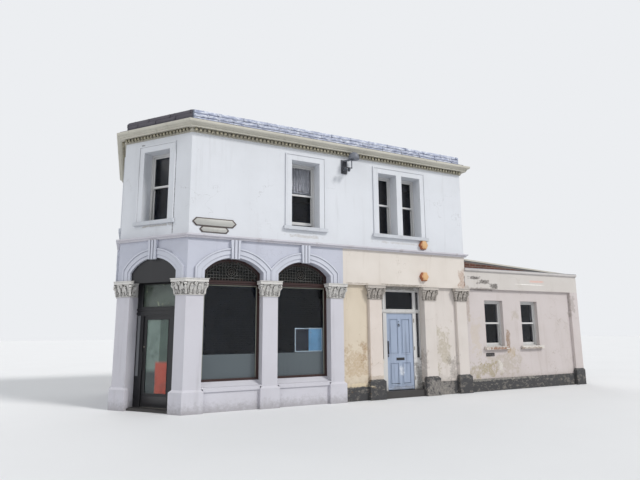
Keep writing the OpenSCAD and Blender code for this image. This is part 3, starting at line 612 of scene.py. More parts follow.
def brickwork():
    """Sooty bricks of true size on upright faces."""
    place, given, out = new_group("Brickwork", {"Color": ("Brick", "Mortar")},
                                  {"Color": ("Color",), "Float": ("Height",)})
    parts = parts_of(place)
    normal = facing(place.socket.id_data)
    run = either(abs(normal[0]) > abs(normal[1]), parts[0], parts[1])
    burnt = blended(0.45, given["Brick"], (0.06, 0.03, 0.03, 1))
    face = field("CombineXYZ", {0: run, 1: parts[2]})
    colour, gaps = laid_rows(face, (given["Brick"], burnt, given["Mortar"]), MORTAR_JOINT, BRICK_LENGTH,
                             BRICK_COURSE, **{"Mortar Smooth": 0.3, "Bias": -0.2})
    soot = spread(noise(place, 3, 6), 0.4, 0.75)
    fill(out, {"Color": blended(soot, colour, blended(0.5, colour, (0.05, 0.04, 0.035, 1))),
               "Height": gaps * -1.0 + noise(place, 60, 4) * 0.3})


EFFECTS = (weathered_coat, peeled_patches, ragged_patch, hairline_cracks, painted_plinth, room_side,
           hollow_shade_and_dirt, brickwork)


# Finishes

FINISHES = {}
# Dark blue-grey painted on the faces that look into the rooms: painted shade that stands in for the dim rooms
# seen through the windows
ROOM_PAINTED_SHADE = tint(70, 80, 106)
# How far a stain or painted shadow reaches into the wall, which is right through it
STAIN_AND_SHADOW_DEPTH = 50.0


def chart(colour):
    """A setting's colour as it is, or a colour from 0 to 255 in linear light."""
    return colour if len(colour) == 4 else tint(*colour)


def weathered(tree, paint, grime, patchiness, streaks, foot=(0.1, 0.0)):
    """The outputs of a weathered coat."""
    return use_group(tree, "Weathered coat", {"Paint": paint, "Grime": grime, "Patchiness": patchiness,
                                              "Streaks": streaks, "Foot": foot[0], "Foot grime": foot[1]})


def shaded_and_dirtied(tree, colour, shade_and_dirt, amount, reach):
    """A colour with painted shade and dirt in its hollows."""
    values = {"Coat": colour, "Shade and dirt": shade_and_dirt, "Amount": amount, "Reach": reach}
    return use_group(tree, "Hollow shade and dirt", values)["Color"]


def coat(name, paint, grime, patchiness, streaks, roughness=0.75, bump=0.25, foot=(0.1, 0.0), peel=None,
         hollows=None, zones=(), stains_and_shadows=(), corner_stains=(), plinth=None, room=False, cracks=0.0, tops=None,
         metallic=0.0):
    """A painted or weathered finish, with the zones, stains, painted shadows, peeling, and dirt and painted
    shade in hollows that it is asked for.

    Foot is how high grime climbs from the ground, and how strong it is. Peel is how much paint is
    off, the scale of the patches and the colour under it. Hollows is how much painted shade and dirt,
    both in the grime colour, lie in them and how far they reach. A zone is its limits and its paint.
    A stain or painted shadow is the place and the height of its middle, its reach along the wall and
    in height, its colour, its strength and its raggedness. Tops is the colour of faces that look up.
    """
    main, place = new_finish(name)
    tree = main.id_data
    grime = chart(grime)
    colour = chart(paint)
    for limits, other in zones:
        colour = blended(within(place, limits), colour, chart(other))
    base = weathered(tree, colour, grime, patchiness, streaks, foot)
    colour, height = base["Color"], base["Height"]
    if peel:
        amount, scale, bare = peel
        patches = use_group(tree, "Peeled patches", {"Coat": colour, "Bare": chart(bare), "Scale": scale,
                                                     "Amount": amount})
        colour = patches["Color"]
        height -= patches["Mask"] * 0.8
    if plinth:
        low = use_group(tree, "Painted plinth", {"Coat": colour, "Plinth": chart(plinth[0]),
                                                 "Flake": chart(plinth[1])})
        colour = low["Color"]
        height -= low["Mask"] * 0.6
    all_stains_and_shadows = [(place, marking) for marking in stains_and_shadows]
    if corner_stains:
        corner_place = corner_front_place(place)
        all_stains_and_shadows += [(corner_place, marking) for marking in corner_stains]
    # Each stain or painted shadow is a ragged patch of its colour.
    for where, (x, z, wide, tall, shade, strength, raggedness) in all_stains_and_shadows:
        patch = {"Place": where, "Middle": (x, 0.0, z), "Reach": (wide, STAIN_AND_SHADOW_DEPTH, tall),
                 "Raggedness": raggedness}
        mask = use_group(tree, "Ragged patch", patch)["Mask"] * strength
        colour = blended(mask, colour, chart(shade))
        height -= mask * 0.5
    if cracks:
        mask = use_group(tree, "Hairline cracks", {"Amount": cracks})["Mask"]
        colour = blended(mask, colour, grime)
        height -= mask * 1.5
    if tops:
        colour = blended(spread(facing(tree)[2], 0.3, 0.7), colour, chart(tops))
    # Painted shade and dirt in the hollows, both in the grime colour.
    if hollows:
        colour = shaded_and_dirtied(tree, colour, grime, *hollows)
    if room:
        # Painted shade on the faces that look into the rooms.
        colour = blended(use_group(tree, "Room side", {})["Mask"], colour, ROOM_PAINTED_SHADE)
    surface(main, colour, spread(base["Wear"], 0.0, 1.0, roughness, min(1.0, roughness + 0.2)), height, bump)
    main.inputs["Metallic"].default_value = metallic


def glass(name, colour, roughness=0.02):
    """Clear or tinted glass with faint dust."""
    main, place = new_finish(name)
    dust = noise(place, 3, 6, 0.6)
    dusty = tuple(0.85 * level for level in colour[:3]) + (1,)
    fill(main.inputs, {"Base Color": blended(spread(dust, 0.4, 0.8), colour, dusty),
                       "Roughness": spread(dust, 0.3, 0.9, roughness, roughness + 0.08),
                       "Transmission Weight": 1.0, "IOR": 1.25})


def net_finish():
    """Fine open net, whose threads follow the cloth's own map."""
    main, place = new_finish("Net")
    sheet_place = Field(shader(main.id_data, "TexCoord")["UV"])
    threads = field("TexWave", {"Vector": sheet_place, "Scale": 160.0, "Distortion": 0.4}, "Fac")
    cloth = blended(spread(noise(place, 6, 4), 0.4, 0.8), tint(248, 244, 240), tint(214, 208, 206))
    surface(main, cloth, 0.9, threads, 0.2, 0.002)
    fill(main.inputs, {"Alpha": spread(threads, 0.2, 0.8, 0.35, 0.85)})


def blind_finish():
    """The corner door's blind: pale green, darker green and a worn red part, with fine level ribs."""
    main, place = new_finish("Blind")
    turned = corner_front_place(place)
    parts = parts_of(turned)
    across = parts[0] + (noise(place, 5, 5) - 0.5) * 0.06
    colour = blended(spread(across, 1.07, 1.10), tint(150, 166, 156), tint(84, 104, 92))
    colour = blended(spread(across, 0.96, 1.0) * spread(parts[2], 1.12, 1.02), colour, tint(228, 74, 38))
    colour = blended(spread(across, 1.0, 0.96) * spread(parts[2], 0.95, 0.8), colour, tint(66, 72, 74))
    ribs = field("TexWave", {"Vector": turned, "Scale": 14.0}, "Fac", bands_direction="Z")
    colour = blended(spread(ribs, 0.8, 1.0, 0.0, 0.55), colour, tint(190, 196, 190))
    colour = blended(spread(noise(place, 4, 6), 0.5, 0.8, 0.0, 0.5), colour, tint(70, 76, 72))
    surface(main, colour, 0.4, ribs, 0.3, 0.004)


def boards_finish():
    """Floorboards laid along the side street, over a plain pale ceiling."""
    main, place = new_finish("Floorboards and ceiling")
    parts = parts_of(place)
    boards, gaps = laid_rows(field("CombineXYZ", {0: parts[0], 1: parts[1]}),
                             (tint(116, 98, 80), tint(88, 72, 58), tint(34, 28, 24)),
                             BOARD_GAP, BOARD_LENGTH, BOARD_WIDTH)
    grain = noise(place, 6, 6, 0.6, (1, 14, 1))
    wood = blended(spread(grain, 0.3, 0.8, 0.0, 0.5), boards, tint(56, 44, 36))
    ceiling = blended(spread(noise(place, 1.4, 6), 0.4, 0.8), tint(186, 188, 184), tint(140, 142, 138))
    colour = blended(spread(facing(main.id_data)[2], -0.4, -0.7), wood, ceiling)
    surface(main, colour, spread(grain, 0.2, 0.9, 0.5, 0.75), grain * 0.2 - gaps, 0.3)


# Laps between the lead courses of the parapet, along which painted shade runs
LEAD_LAPS = (6.752, 6.838, 6.924)


def pale_lead_finish(look):
    """Lead washed pale in blotches, with painted shade along its laps and in its hollows."""
    main, place = new_finish("Weathered lead")
    tree = main.id_data
    base = weathered(tree, look.pale_lead, tint(58, 64, 84), 0.8, 0.8)
    blotches = noise(place, 7, 7, 0.68, (0.8, 1, 2.4))
    colour = blended(spread(blotches, 0.46, 0.60), base["Color"], tint(216, 221, 233))
    colour = blended(spread(blotches, 0.44, 0.34, 0.0, 0.8), colour, tint(78, 86, 112))
    # Painted shade: a dark line along each lap, under the edge of the course above.
    for lap in LEAD_LAPS:
        line = spread(abs(parts_of(place)[2] - lap) + blotches * 0.008, 0.016, 0.006)
        colour = blended(line * 0.85, colour, tint(66, 72, 96))
    # Painted shade and dirt in the hollows.
    colour = shaded_and_dirtied(tree, colour, tint(52, 56, 74), 0.7, 0.02)
    surface(main, colour, spread(blotches, 0.3, 0.7, 0.4, 0.7), base["Height"], 0.3)


def alarm_finish(look):
    """Faded orange plastic, with painted shade on the faces that look left and down."""
    main = new_finish("Faded plastic with painted shade")[0]
    tree = main.id_data
    base = weathered(tree, look.alarm_plastic, tint(150, 92, 52), 0.7, 0.5)
    normal = facing(tree)
    # Painted shade: faces that look left or down turn darker brown; the front keeps the plain colour.
    away = most(spread(normal[0], -0.25, -0.4), spread(normal[2], -0.4, -0.6))
    colour = blended(away, base["Color"], tint(158, 92, 54))
    colour = blended(spread(normal[1], -0.9, -0.97), colour, base["Color"])
    surface(main, colour, spread(base["Wear"], 0.0, 1.0, 0.42, 0.65), base["Height"], 0.1)


def brick_finish(look):
    """Bricks outside, and painted shade on the faces that look into the rooms."""
    main, place = new_finish("Brickwork")
    tree = main.id_data
    wall = use_group(tree, "Brickwork", {"Brick": look.brick, "Mortar": tint(128, 118, 106)})
    x, y, z = parts_of(place)
    by_shop = (y < SHOP_BACK) * (z < SHOP_CEILING)
    by_annex = (y < ANNEX_BACK) * (z < ANNEX_CEILING)
    room = either(x > ANNEX_START, by_shop, by_annex) * (y > 0.3) * (facing(tree)[0] < 0.5)
    surface(main, blended(room, wall["Color"], ROOM_PAINTED_SHADE), 0.9, wall["Height"], 0.6)


def make_walls(look):
    """Builds the paints of the walls."""
    grime = (96, 90, 84)
    olive = (150, 138, 104)
    plinth = ((62, 62, 64), (112, 108, 103))
    coat("Upper render", look.upper_paint, grime, 0.35, 0.25, peel=(0.06, 1.3, (168, 160, 150)), room=True,
         cracks=0.4,
         stains_and_shadows=((0.73, 4.08, 0.14, 0.05, (150, 128, 108), 0.8, 0.6),
                 (2.95, 4.13, 0.5, 0.04, (176, 170, 164), 0.6, 0.6),
                 (5.9, 4.16, 0.8, 0.03, (172, 166, 160), 0.5, 0.7)),
         corner_stains=((1.607, 5.2, 0.012, 1.08, (66, 64, 70), 0.9, 0.12),
                        (1.1, 6.292, 0.52, 0.010, (92, 90, 94), 0.8, 0.3),
                        (0.58, 6.31, 0.06, 0.03, (60, 56, 54), 0.9, 0.6),
                        (1.585, 4.17, 0.014, 0.17, (66, 60, 56), 1.0, 0.2),
                        (1.1, 4.25, 0.5, 0.025, (150, 138, 120), 0.6, 0.6)))
    coat("Window surround paint", look.upper_paint, grime, 0.4, 0.4, peel=(0.12, 4, (170, 162, 150)),
         hollows=(0.45, 0.02))
    # The arcade's colour is its white paint darkened and blued with painted shade.
    coat("Arcade render", look.arcade_paint_and_shade, (96, 92, 96), 0.4, 0.25, foot=(0.4, 0.35),
         peel=(0.08, 1.6, (150, 140, 134)), room=True, cracks=0.3)
    coat("Pier render", look.pier_paint, (98, 92, 88), 0.4, 0.25, foot=(0.30, 0.45),
         peel=(0.12, 3.0, (140, 130, 122)), room=True)
    coat("Cream render", look.cream_paint, (128, 104, 70), 0.6, 0.35, foot=(0.7, 0.5),
         peel=(0.10, 2.6, (176, 158, 128)), room=True, cracks=0.5, plinth=plinth,
         zones=(({0: (4.80, 8.3), 2: (0.0, PIER_TOP)}, look.pilaster_paint),),
         stains_and_shadows=((4.42, 0.9, 0.36, 0.42, (158, 124, 76), 0.45, 1.0),
                 (4.66, 1.22, 0.10, 0.3, (140, 104, 62), 0.5, 0.9),
                 (4.42, 0.385, 0.42, 0.05, (214, 200, 172), 0.9, 0.5),
                 (5.0, 0.56, 0.25, 0.05, (146, 128, 96), 0.5, 0.6)))
    coat("Frieze render", look.frieze_paint, (132, 112, 84), 0.5, 0.4, peel=(0.08, 2.6, (176, 158, 128)),
         cracks=0.4, room=True,
         stains_and_shadows=((8.15, 3.17, 0.035, 0.22, (52, 50, 54), 0.9, 0.4),
                 (8.02, 3.2, 0.12, 0.3, (146, 100, 68), 0.6, 0.9),
                 # Painted shadow: dark bands along the frieze's lower edge, over the side door and over the
                 # recessed wall.
                 (5.9, 2.985, 0.75, 0.03, (96, 84, 64), 0.8, 0.4),
                 (4.45, 2.99, 0.4, 0.02, (120, 104, 84), 0.6, 0.6)))
    coat("Blush render", look.blush_paint, (132, 114, 92), 0.5, 0.3, foot=(0.6, 0.4),
         peel=(0.10, 2.4, (176, 156, 134)), plinth=plinth, room=True, cracks=0.5,
         stains_and_shadows=((7.3, 1.25, 0.2, 0.45, olive, 0.5, 1.2),
                 (7.1, 0.18, 0.5, 0.26, (170, 164, 158), 0.55, 0.9),
                 (7.62, 0.62, 0.16, 0.34, (96, 90, 84), 0.5, 0.9),
                 (6.55, 0.8, 0.12, 0.4, (110, 92, 76), 0.4, 0.9)))
    coat("Annex render", look.annex_paint, (132, 114, 92), 0.5, 0.3, foot=(0.6, 0.4),
         peel=(0.08, 2.4, (176, 156, 134)), plinth=plinth, room=True, cracks=0.55,
         zones=(({2: (2.97, 3.8)}, look.annex_frieze_paint),),
         stains_and_shadows=((8.50, 3.30, 0.24, 0.05, (56, 50, 48), 1.0, 0.6),
                 (8.90, 3.19, 0.28, 0.06, (62, 56, 52), 1.0, 0.7),
                 (9.30, 3.07, 0.16, 0.08, (62, 56, 52), 1.0, 0.7),
                 (8.80, 2.97, 0.6, 0.04, (84, 74, 66), 0.7, 0.7),
                 (11.15, 3.275, 0.36, 0.04, (218, 170, 158), 0.8, 0.3),
                 (10.83, 3.17, 0.68, 0.014, (240, 238, 234), 1.0, 0.1),
                 (8.78, 0.62, 0.55, 0.2, olive, 0.7, 0.9),
                 (9.5, 0.75, 0.7, 0.26, olive, 0.4, 1.3),
                 (9.46, 0.70, 0.10, 0.16, (224, 222, 216), 0.7, 0.9),
                 (9.82, 1.42, 0.09, 0.28, (132, 104, 76), 1.0, 0.6),
                 (9.95, 1.1, 0.12, 0.2, (176, 156, 122), 0.6, 1.0),
                 (10.17, 2.2, 0.12, 0.12, olive, 0.35, 1.2),
                 (12.75, 2.6, 0.12, 0.3, (120, 110, 100), 0.5, 1.0),
                 (8.22, 2.5, 0.12, 0.5, (140, 118, 92), 0.5, 0.9),
                 (9.6, 0.33, 1.5, 0.04, (206, 200, 190), 0.35, 0.8),
                 (8.5, 1.6, 0.2, 0.5, (190, 176, 150), 0.4, 1.1)))
    coat("End wall render", look.upper_paint, grime, 0.6, 0.6, peel=(0.12, 1.6, (160, 150, 138)), cracks=0.5,
         hollows=(0.4, 0.15),
         # These zones put painted shade on the faces that look into the rooms.
         zones=(({0: (7.0, 8.0), 1: (ROOM_DEPTH, 5.4), 2: (0.0, SHOP_CEILING)}, ROOM_PAINTED_SHADE),
                ({0: (8.1, 8.2), 1: (0.45, 4.0), 2: (0.0, 3.55)}, ROOM_PAINTED_SHADE)))
    coat("Annex end render", look.annex_paint, (132, 114, 92), 0.6, 0.5, foot=(0.6, 0.4),
         peel=(0.14, 2.0, (176, 156, 134)), plinth=plinth, cracks=0.5,
         # This zone puts painted shade on the faces that look into the annex.
         zones=(({0: (8.0, 12.95), 1: (0.5, 4.0)}, ROOM_PAINTED_SHADE),))
    brick_finish(look)


def make_stones(look):
    """Builds the paints of the mouldings and stones, and the leads."""
    # Its blue-grey grime colour is also the painted shade in its hollows.
    coat("White mouldings", look.moulding_paint, (104, 106, 122), 0.5, 0.3,
         peel=(0.05, 3, (0.3, 0.2, 0.12, 1)), hollows=(0.65, 0.03))
    coat("String course paint", look.pier_paint, (112, 88, 62), 0.5, 0.7, peel=(0.15, 5, (146, 118, 88)),
         hollows=(0.4, 0.03))
    coat("Coping paint", (196, 192, 190), (84, 82, 84), 0.9, 0.5, peel=(0.2, 5, (112, 116, 126)),
         hollows=(0.5, 0.05), tops=(128, 130, 134))
    # Its near-black grime colour is also the painted shade deep in the hollows of the carving.
    coat("Carved stone", look.stone, (46, 42, 38), 0.8, 0.5, 0.85, 0.5, peel=(0.2, 12, (140, 128, 112)),
         hollows=(1.0, 0.035), zones=(({0: (4.6, 8.4)}, (190, 183, 176)),))
    coat("Cornice stone", look.cornice_paint, (112, 106, 90), 0.9, 0.5, peel=(0.25, 5, (138, 130, 108)),
         hollows=(0.6, 0.06), tops=(96, 100, 106))
    coat("Dentil stone", look.dentil_paint, (70, 66, 50), 1.0, 0.5, peel=(0.7, 13, (104, 98, 80)),
         hollows=(0.8, 0.05))
    coat("Sill stone", (210, 206, 200), (92, 84, 74), 0.8, 0.5, 0.85, 0.4, peel=(0.2, 6, (150, 128, 100)),
         hollows=(0.5, 0.04), zones=(({2: (4.0, 5.0)}, (200, 204, 211)),),
         stains_and_shadows=((9.27, 1.215, 0.52, 0.045, (128, 80, 50), 1.0, 0.8),
                 (10.8, 1.2, 0.5, 0.03, (120, 92, 70), 0.7, 0.9)))
    coat("Dark step", (66, 64, 64), (36, 34, 34), 0.9, 0.0, 0.85, 0.4, peel=(0.2, 8, (98, 94, 90)))
    coat("Annex roofing", (100, 98, 98), (52, 50, 50), 0.9, 0.6, 0.6, 0.3, peel=(0.3, 3, (82, 86, 78)),
         hollows=(0.4, 0.04))
    coat("Lead", (120, 128, 142), (60, 62, 70), 0.9, 0.6, 0.5, 0.3, peel=(0.2, 2.5, (98, 102, 112)),
         hollows=(0.4, 0.04))
    coat("Dark lead", look.dark_lead, (40, 38, 42), 0.8, 0.6, 0.5, 0.3, hollows=(0.4, 0.04))
    coat("Lead came", (76, 75, 72), (40, 38, 36), 0.8, 0.2, 0.5, 0.1)
    pale_lead_finish(look)


def make_joinery(look):
    """Builds the paints of the frames and doors, and the floors."""
    bare_wood = (150, 138, 126)
    coat("Dark timber", look.timber, (22, 15, 14), 0.8, 0.4, 0.32, 0.15, peel=(0.15, 9, (104, 62, 48)),
         hollows=(0.4, 0.03))
    coat("Verge trim", (198, 194, 184), (112, 104, 92), 0.8, 0.3, 0.5, 0.1)
    coat("Pale bead", (142, 144, 134), (70, 64, 54), 0.8, 0.3, 0.5, 0.1)
    coat("Black paint", (17, 18, 23), (62, 61, 62), 0.3, 0.25, 0.38, 0.1, foot=(0.3, 0.4),
         peel=(0.1, 9, (74, 72, 70)), hollows=(0.3, 0.03))
    coat("Grey strip", (112, 114, 118), (58, 58, 60), 0.8, 0.5, 0.4, 0.1)
    coat("White joinery", look.joinery, (110, 104, 96), 0.5, 0.4, 0.45, 0.15, peel=(0.15, 9, bare_wood),
         hollows=(0.45, 0.03))
    coat("Door frame paint", look.joinery, (104, 92, 78), 0.6, 0.6, 0.45, 0.15, foot=(0.5, 0.6),
         peel=(0.25, 7, bare_wood), hollows=(0.5, 0.03),
         stains_and_shadows=((6.52, 0.5, 0.12, 0.45, (74, 70, 64), 0.75, 0.8),
                 # Painted shadow: a dark olive band along the frame's head, under the frieze.
                 (5.9, 2.92, 0.8, 0.06, (78, 70, 52), 0.85, 0.4),
                 (5.30, 0.7, 0.08, 0.5, (214, 204, 184), 0.6, 0.8)))
    coat("Pale blue paint", look.door_paint, (88, 96, 114), 0.5, 0.95, 0.4, 0.12, foot=(0.3, 0.5),
         peel=(0.1, 9, (200, 200, 205)), hollows=(0.22, 0.02),
         stains_and_shadows=((5.96, 0.66, 0.08, 0.17, (216, 220, 226), 0.9, 0.8),
                 # Painted shadow: dark lines along the lower edges of the two bottom panels.
                 (5.75, 0.345, 0.16, 0.012, (36, 40, 52), 0.9, 0.35),
                 (6.14, 0.345, 0.12, 0.012, (36, 40, 52), 0.9, 0.35),
                 (5.93, 0.23, 0.45, 0.05, (120, 122, 128), 0.7, 0.9),
                 (5.52, 1.25, 0.05, 0.3, (110, 120, 146), 0.6, 0.8)))
    boards_finish()


def make_fittings(look):
    """Builds the metals, the glasses, the sheets and the plastics."""
    coat("Black metal", (34, 34, 38), (86, 78, 70), 0.5, 0.3, 0.4, 0.15)
    coat("Lamp metal", (104, 108, 118), (52, 50, 52), 0.7, 0.4, 0.45, 0.15, hollows=(0.3, 0.04),
         zones=(({2: (5.9, 6.06)}, (36, 38, 46)), ({1: (-0.031, 0.1)}, (44, 46, 54))))
    coat("Worn bright metal", (150, 146, 136), (66, 60, 52), 0.8, 0.2, 0.3, 0.1, metallic=0.8)
    coat("Lamp lens", (60, 66, 76), (30, 32, 36), 0.5, 0.0, 0.12, 0.05)
    coat("Plate enamel", (176, 176, 172), (84, 76, 66), 0.8, 0.5, 0.45, 0.2, peel=(0.15, 14, (104, 72, 52)))
    coat("Plate rim", (74, 68, 66), (120, 82, 56), 0.9, 0.4, 0.6, 0.3, peel=(0.3, 16, (122, 84, 58)))
    coat("Frosted band", (82, 91, 96), (50, 56, 62), 0.6, 0.35, 0.16, 0.05)
    coat("Board frame", (196, 208, 222), (120, 130, 146), 0.5, 0.2, 0.3, 0.05)
    coat("Board dark half", (16, 22, 44), (14, 16, 26), 0.8, 0.2, 0.25, 0.05)
    coat("Board pale half", (120, 170, 212), (84, 120, 160), 0.9, 0.4, 0.25, 0.05,
         peel=(0.3, 9, (88, 132, 176)))
    coat("Fanlight sheet", (116, 122, 112), (74, 82, 66), 1.0, 0.6, 0.15, 0.05,
         peel=(0.35, 3.5, (150, 156, 120)))
    glass("Clear glass", (0.80, 0.84, 0.85, 1))
    glass("Dusky glass", (0.80, 0.83, 0.90, 1))
    glass("Amber glass", tint(150, 84, 40), 0.12)
    glass("Red glass", tint(96, 34, 30), 0.12)
    glass("Green glass", tint(56, 76, 60), 0.12)
    glass("Obscure glass", tint(120, 124, 118), 0.2)
    net_finish()
    blind_finish()
    alarm_finish(look)


NODE_FINISHES = {
    "Upper render": ("upper_side_wall", "upper_corner_wall", "upper_main_wall"),
    "End wall render": ("end_wall",),
    "Annex end render": ("annex_end_wall",),
    "Window surround paint": ("architraves",),
    "Arcade render": ("side_arcade", "corner_arcade", "main_arcade"),
    "Pier render": ("corner_pier", "arcade_piers", "main_pier", "stallrisers"),
    "White mouldings": ("arch_mouldings",),
    "String course paint": ("string_course",),
    "Coping paint": ("annex_coping",),
    "Cream render": ("side_wall_left",),
    "Frieze render": ("side_frieze",),
    "Blush render": ("side_wall_right",),
    "Annex render": ("annex_front_wall",),
    "Carved stone": ("capitals",),
    "Cornice stone": ("cornice",),
    "Dentil stone": ("dentils",),
    "Sill stone": ("window_sills",),
    "Lead": ("parapet", "roof_deck"),
    "Annex roofing": ("annex_roof",),
    "Dark timber": ("shop_window_frames",),
    "Black paint": ("corner_door_frame", "corner_sign_board", "corner_door"),
    "White joinery": ("sash_windows",),
    "Door frame paint": ("side_door_frame",),
    "Pale blue paint": ("side_door",),
    "Black metal": ("side_door_furniture",),
    "Lamp metal": ("wall_lamp",),
    "Floorboards and ceiling": ("first_floor", "ground_floor"),
    "Dark step": ("door_steps",),
    "Faded plastic with painted shade": ("alarm_boxes",),
    "Clear glass": ("shop_glass", "corner_door_glass"),
    "Dusky glass": ("window_glass",),
    "Brickwork": ("party_walls", "annex_verge_wall"),
}


# Settings

def length_setting(name, description, default):
    return bpy.props.FloatProperty(name=name, description=description, default=default, min=0.0,
                                   unit="LENGTH", subtype="DISTANCE")


def colour_setting(name, description, *default):
    return bpy.props.FloatVectorProperty(name=name, description=description, default=tint(*default), size=4,
                                         min=0.0, max=1.0, subtype="COLOR")


class ShopLook(bpy.types.PropertyGroup):
    """Colours of the building's paints and stones."""
    upper_paint: colour_setting("Upper render", "Paint of the upper walls", 213, 216, 222)
    # Grey-blue and darker than the upper walls: painted shade over the arcade's white paint.
    arcade_paint_and_shade: colour_setting("Arcade render", "Paint of the wall over the arches", 190, 193, 206)
    moulding_paint: colour_setting("Arch mouldings", "Paint of the bands round the arches", 198, 201, 212)
    pier_paint: colour_setting("Piers", "Paint of the piers and the low walls", 199, 198, 206)
    cream_paint: colour_setting("Cream render", "Paint of the recessed wall", 209, 197, 179)
    pilaster_paint: colour_setting("Pilasters", "Paint of the pilasters", 214, 204, 197)
    frieze_paint: colour_setting("Frieze", "Paint of the frieze over the side door", 216, 209, 202)
    blush_paint: colour_setting("Blush render", "Paint of the wall beyond the side door", 208, 201, 196)
    annex_paint: colour_setting("Annex render", "Paint of the annex walls", 198, 190, 189)
    annex_frieze_paint: colour_setting("Annex frieze", "Paint of the band over the annex windows",
                                       201, 196, 192)
    door_paint: colour_setting("Side door", "Paint of the side door", 155, 168, 190)
    joinery: colour_setting("Joinery", "Paint of the sashes and the side door's frame", 206, 206, 206)
    timber: colour_setting("Shop timber", "Paint of the shop window frames", 48, 23, 20)
    stone: colour_setting("Carved stone", "Stone of the capitals", 216, 214, 211)
    cornice_paint: colour_setting("Cornice", "Paint of the cornice", 198, 195, 184)
    dentil_paint: colour_setting("Dentils", "Paint of the dentils", 172, 165, 144)
    pale_lead: colour_setting("Pale lead", "Lead over the side street", 160, 168, 192)
    dark_lead: colour_setting("Dark lead", "Lead over the corner and the main street", 72, 68, 78)
    alarm_plastic: colour_setting("Alarm boxes", "Plastic of the alarm boxes", 210, 170, 124)
    brick: colour_setting("Brick", "Bricks of the party walls", 98, 54, 42)


class ShopSizes(bpy.types.PropertyGroup):
    """Sizes of the pieces made here."""
    leaf_width: length_setting("Leaf width", "Width of a carved leaf on a capital", 0.082)
    leaf_thickness: length_setting("Leaf thickness", "Thickness of a carved leaf", 0.008)
    ridge_radius: length_setting("Ridge radius", "Radius of the ridge that winds round a volute", 0.005)
    came_width: length_setting("Came width", "Width of the lead bars in the arched lights", 0.010)
    sheet_length: length_setting("Lead sheet length", "Length of one sheet on the parapet", 0.62)
    curtain_drop: length_setting("Curtain drop", "Height of the net curtain", 0.78)


# Carving of the capitals

# Leaves from foot to tip: how far out, and how high
LEAF_PATH = ((0.020, 2.640), (0.030, 2.700), (0.044, 2.752), (0.068, 2.786), (0.084, 2.806),
             (0.082, 2.826), (0.066, 2.836), (0.054, 2.824))
CORNER_LEAF_PATH = ((0.030, 2.606), (0.042, 2.690), (0.056, 2.735), (0.084, 2.762), (0.100, 2.784),
                    (0.096, 2.802), (0.080, 2.808), (0.070, 2.796))
LOW_LEAF_PATH = ((0.014, 2.606), (0.020, 2.640), (0.028, 2.668), (0.044, 2.684), (0.050, 2.700),
                 (0.042, 2.708))
LEAF_STEP = 0.088
LOW_LEAF_STEP = 0.045
LEAF_RETURN = 0.075
LONG_RETURN = 0.15
RETURN_DEPTH = 0.2
VOLUTE_TURNS = 1.75
BEAD_OUT = 0.015
BEAD_Z = 2.592
BEAD_RADIUS = 0.011


def carved_leaf(name, path, width, thickness, wrap=0.0, columns=6):
    """A lobed leaf with a rib, swept up a path of depths and heights, drawn at x = 0 facing -y."""
    leaf = grid(name, columns, 2 * (len(path) - 1))
    for point in leaf.data.vertices:
        across = 2 * point.co.x
        at = (point.co.y + 0.5) * (len(path) - 1)
        k = min(int(at), len(path) - 2)
        share = at - k
        depth = path[k][0] * (1 - share) + path[k + 1][0] * share
        height = path[k][1] * (1 - share) + path[k + 1][1] * share
        rise = at / (len(path) - 1)
        outline = 0.55 + 0.45 * math.sin(math.pi * min(1.0, 1.15 * rise + 0.1))
        outline *= 0.80 + 0.20 * abs(math.cos(3.5 * math.pi * rise))
        if rise > 0.85:
            outline *= 1 - 2.2 * (rise - 0.85)
        x = across * width / 2 * outline
        rib = 0.5 * thickness * max(0.0, 1 - 3 * abs(across))
        flute = 0.45 * thickness * math.cos(2 * math.pi * across)
        point.co = (x, -(depth + rib + flute) + wrap * abs(x), height - 0.012 * abs(across) * rise)
    finish_with(leaf, "SOLIDIFY", thickness=thickness, offset=0.0)
    return smooth(outwards(leaf), 60)


def round_line(name, places, radius, resolution=2):
    """A round ridge that follows a row of places."""
    clear_selection()
    curve = bpy.data.curves.new(name, "CURVE")
    curve.dimensions = "3D"
    curve.bevel_depth = radius
    curve.bevel_resolution = resolution
    curve.use_fill_caps = True
    line = curve.splines.new("POLY")
    line.points.add(len(places) - 1)
    for point, place in zip(line.points, places):
        point.co = (*place, 1)
    piece = bpy.data.objects.new(name, curve)
    bpy.context.scene.collection.objects.link(piece)
    hold(piece)
    bpy.ops.object.convert(target="MESH")
    piece = bpy.context.object
    piece.data.name = name
    return smooth(outwards(piece), 60)


def volute_ridges(name, radius):
    """Spiral ridges on both cheeks of a volute whose axis lies along x."""
    parts = []
    steps = 40
    for side in (-1, 1):
        places = []
        for k in range(steps + 1):
            turn = VOLUTE_TURNS * 2 * math.pi * k / steps
            reach = 0.042 - 0.024 * k / steps
            places.append((side * 0.029, -reach * math.cos(turn + 0.6), reach * math.sin(turn + 0.6)))
        parts.append(round_line(name, places, radius, resolution=1))
    return joined(name, parts)


def flower_petals(name):
    """Six cupped petals round a bud, facing -y."""
    clear_selection()
    bpy.ops.mesh.primitive_uv_sphere_add(segments=8, ring_count=5, radius=1, location=(0, -0.087, 0.028),
                                         scale=(0.013, 0.006, 0.016))
    petal = named(name + "_petal")
    parts = [copy_at(petal, Matrix.Rotation(math.radians(60 * k), 4, "Y")) for k in range(6)]
    remove(petal)
    parts.append(ring(name + "_ring", 0.012, 0.004, (0, -0.091, 0), (12, 4)))
    return smooth(joined(name, parts), 60)


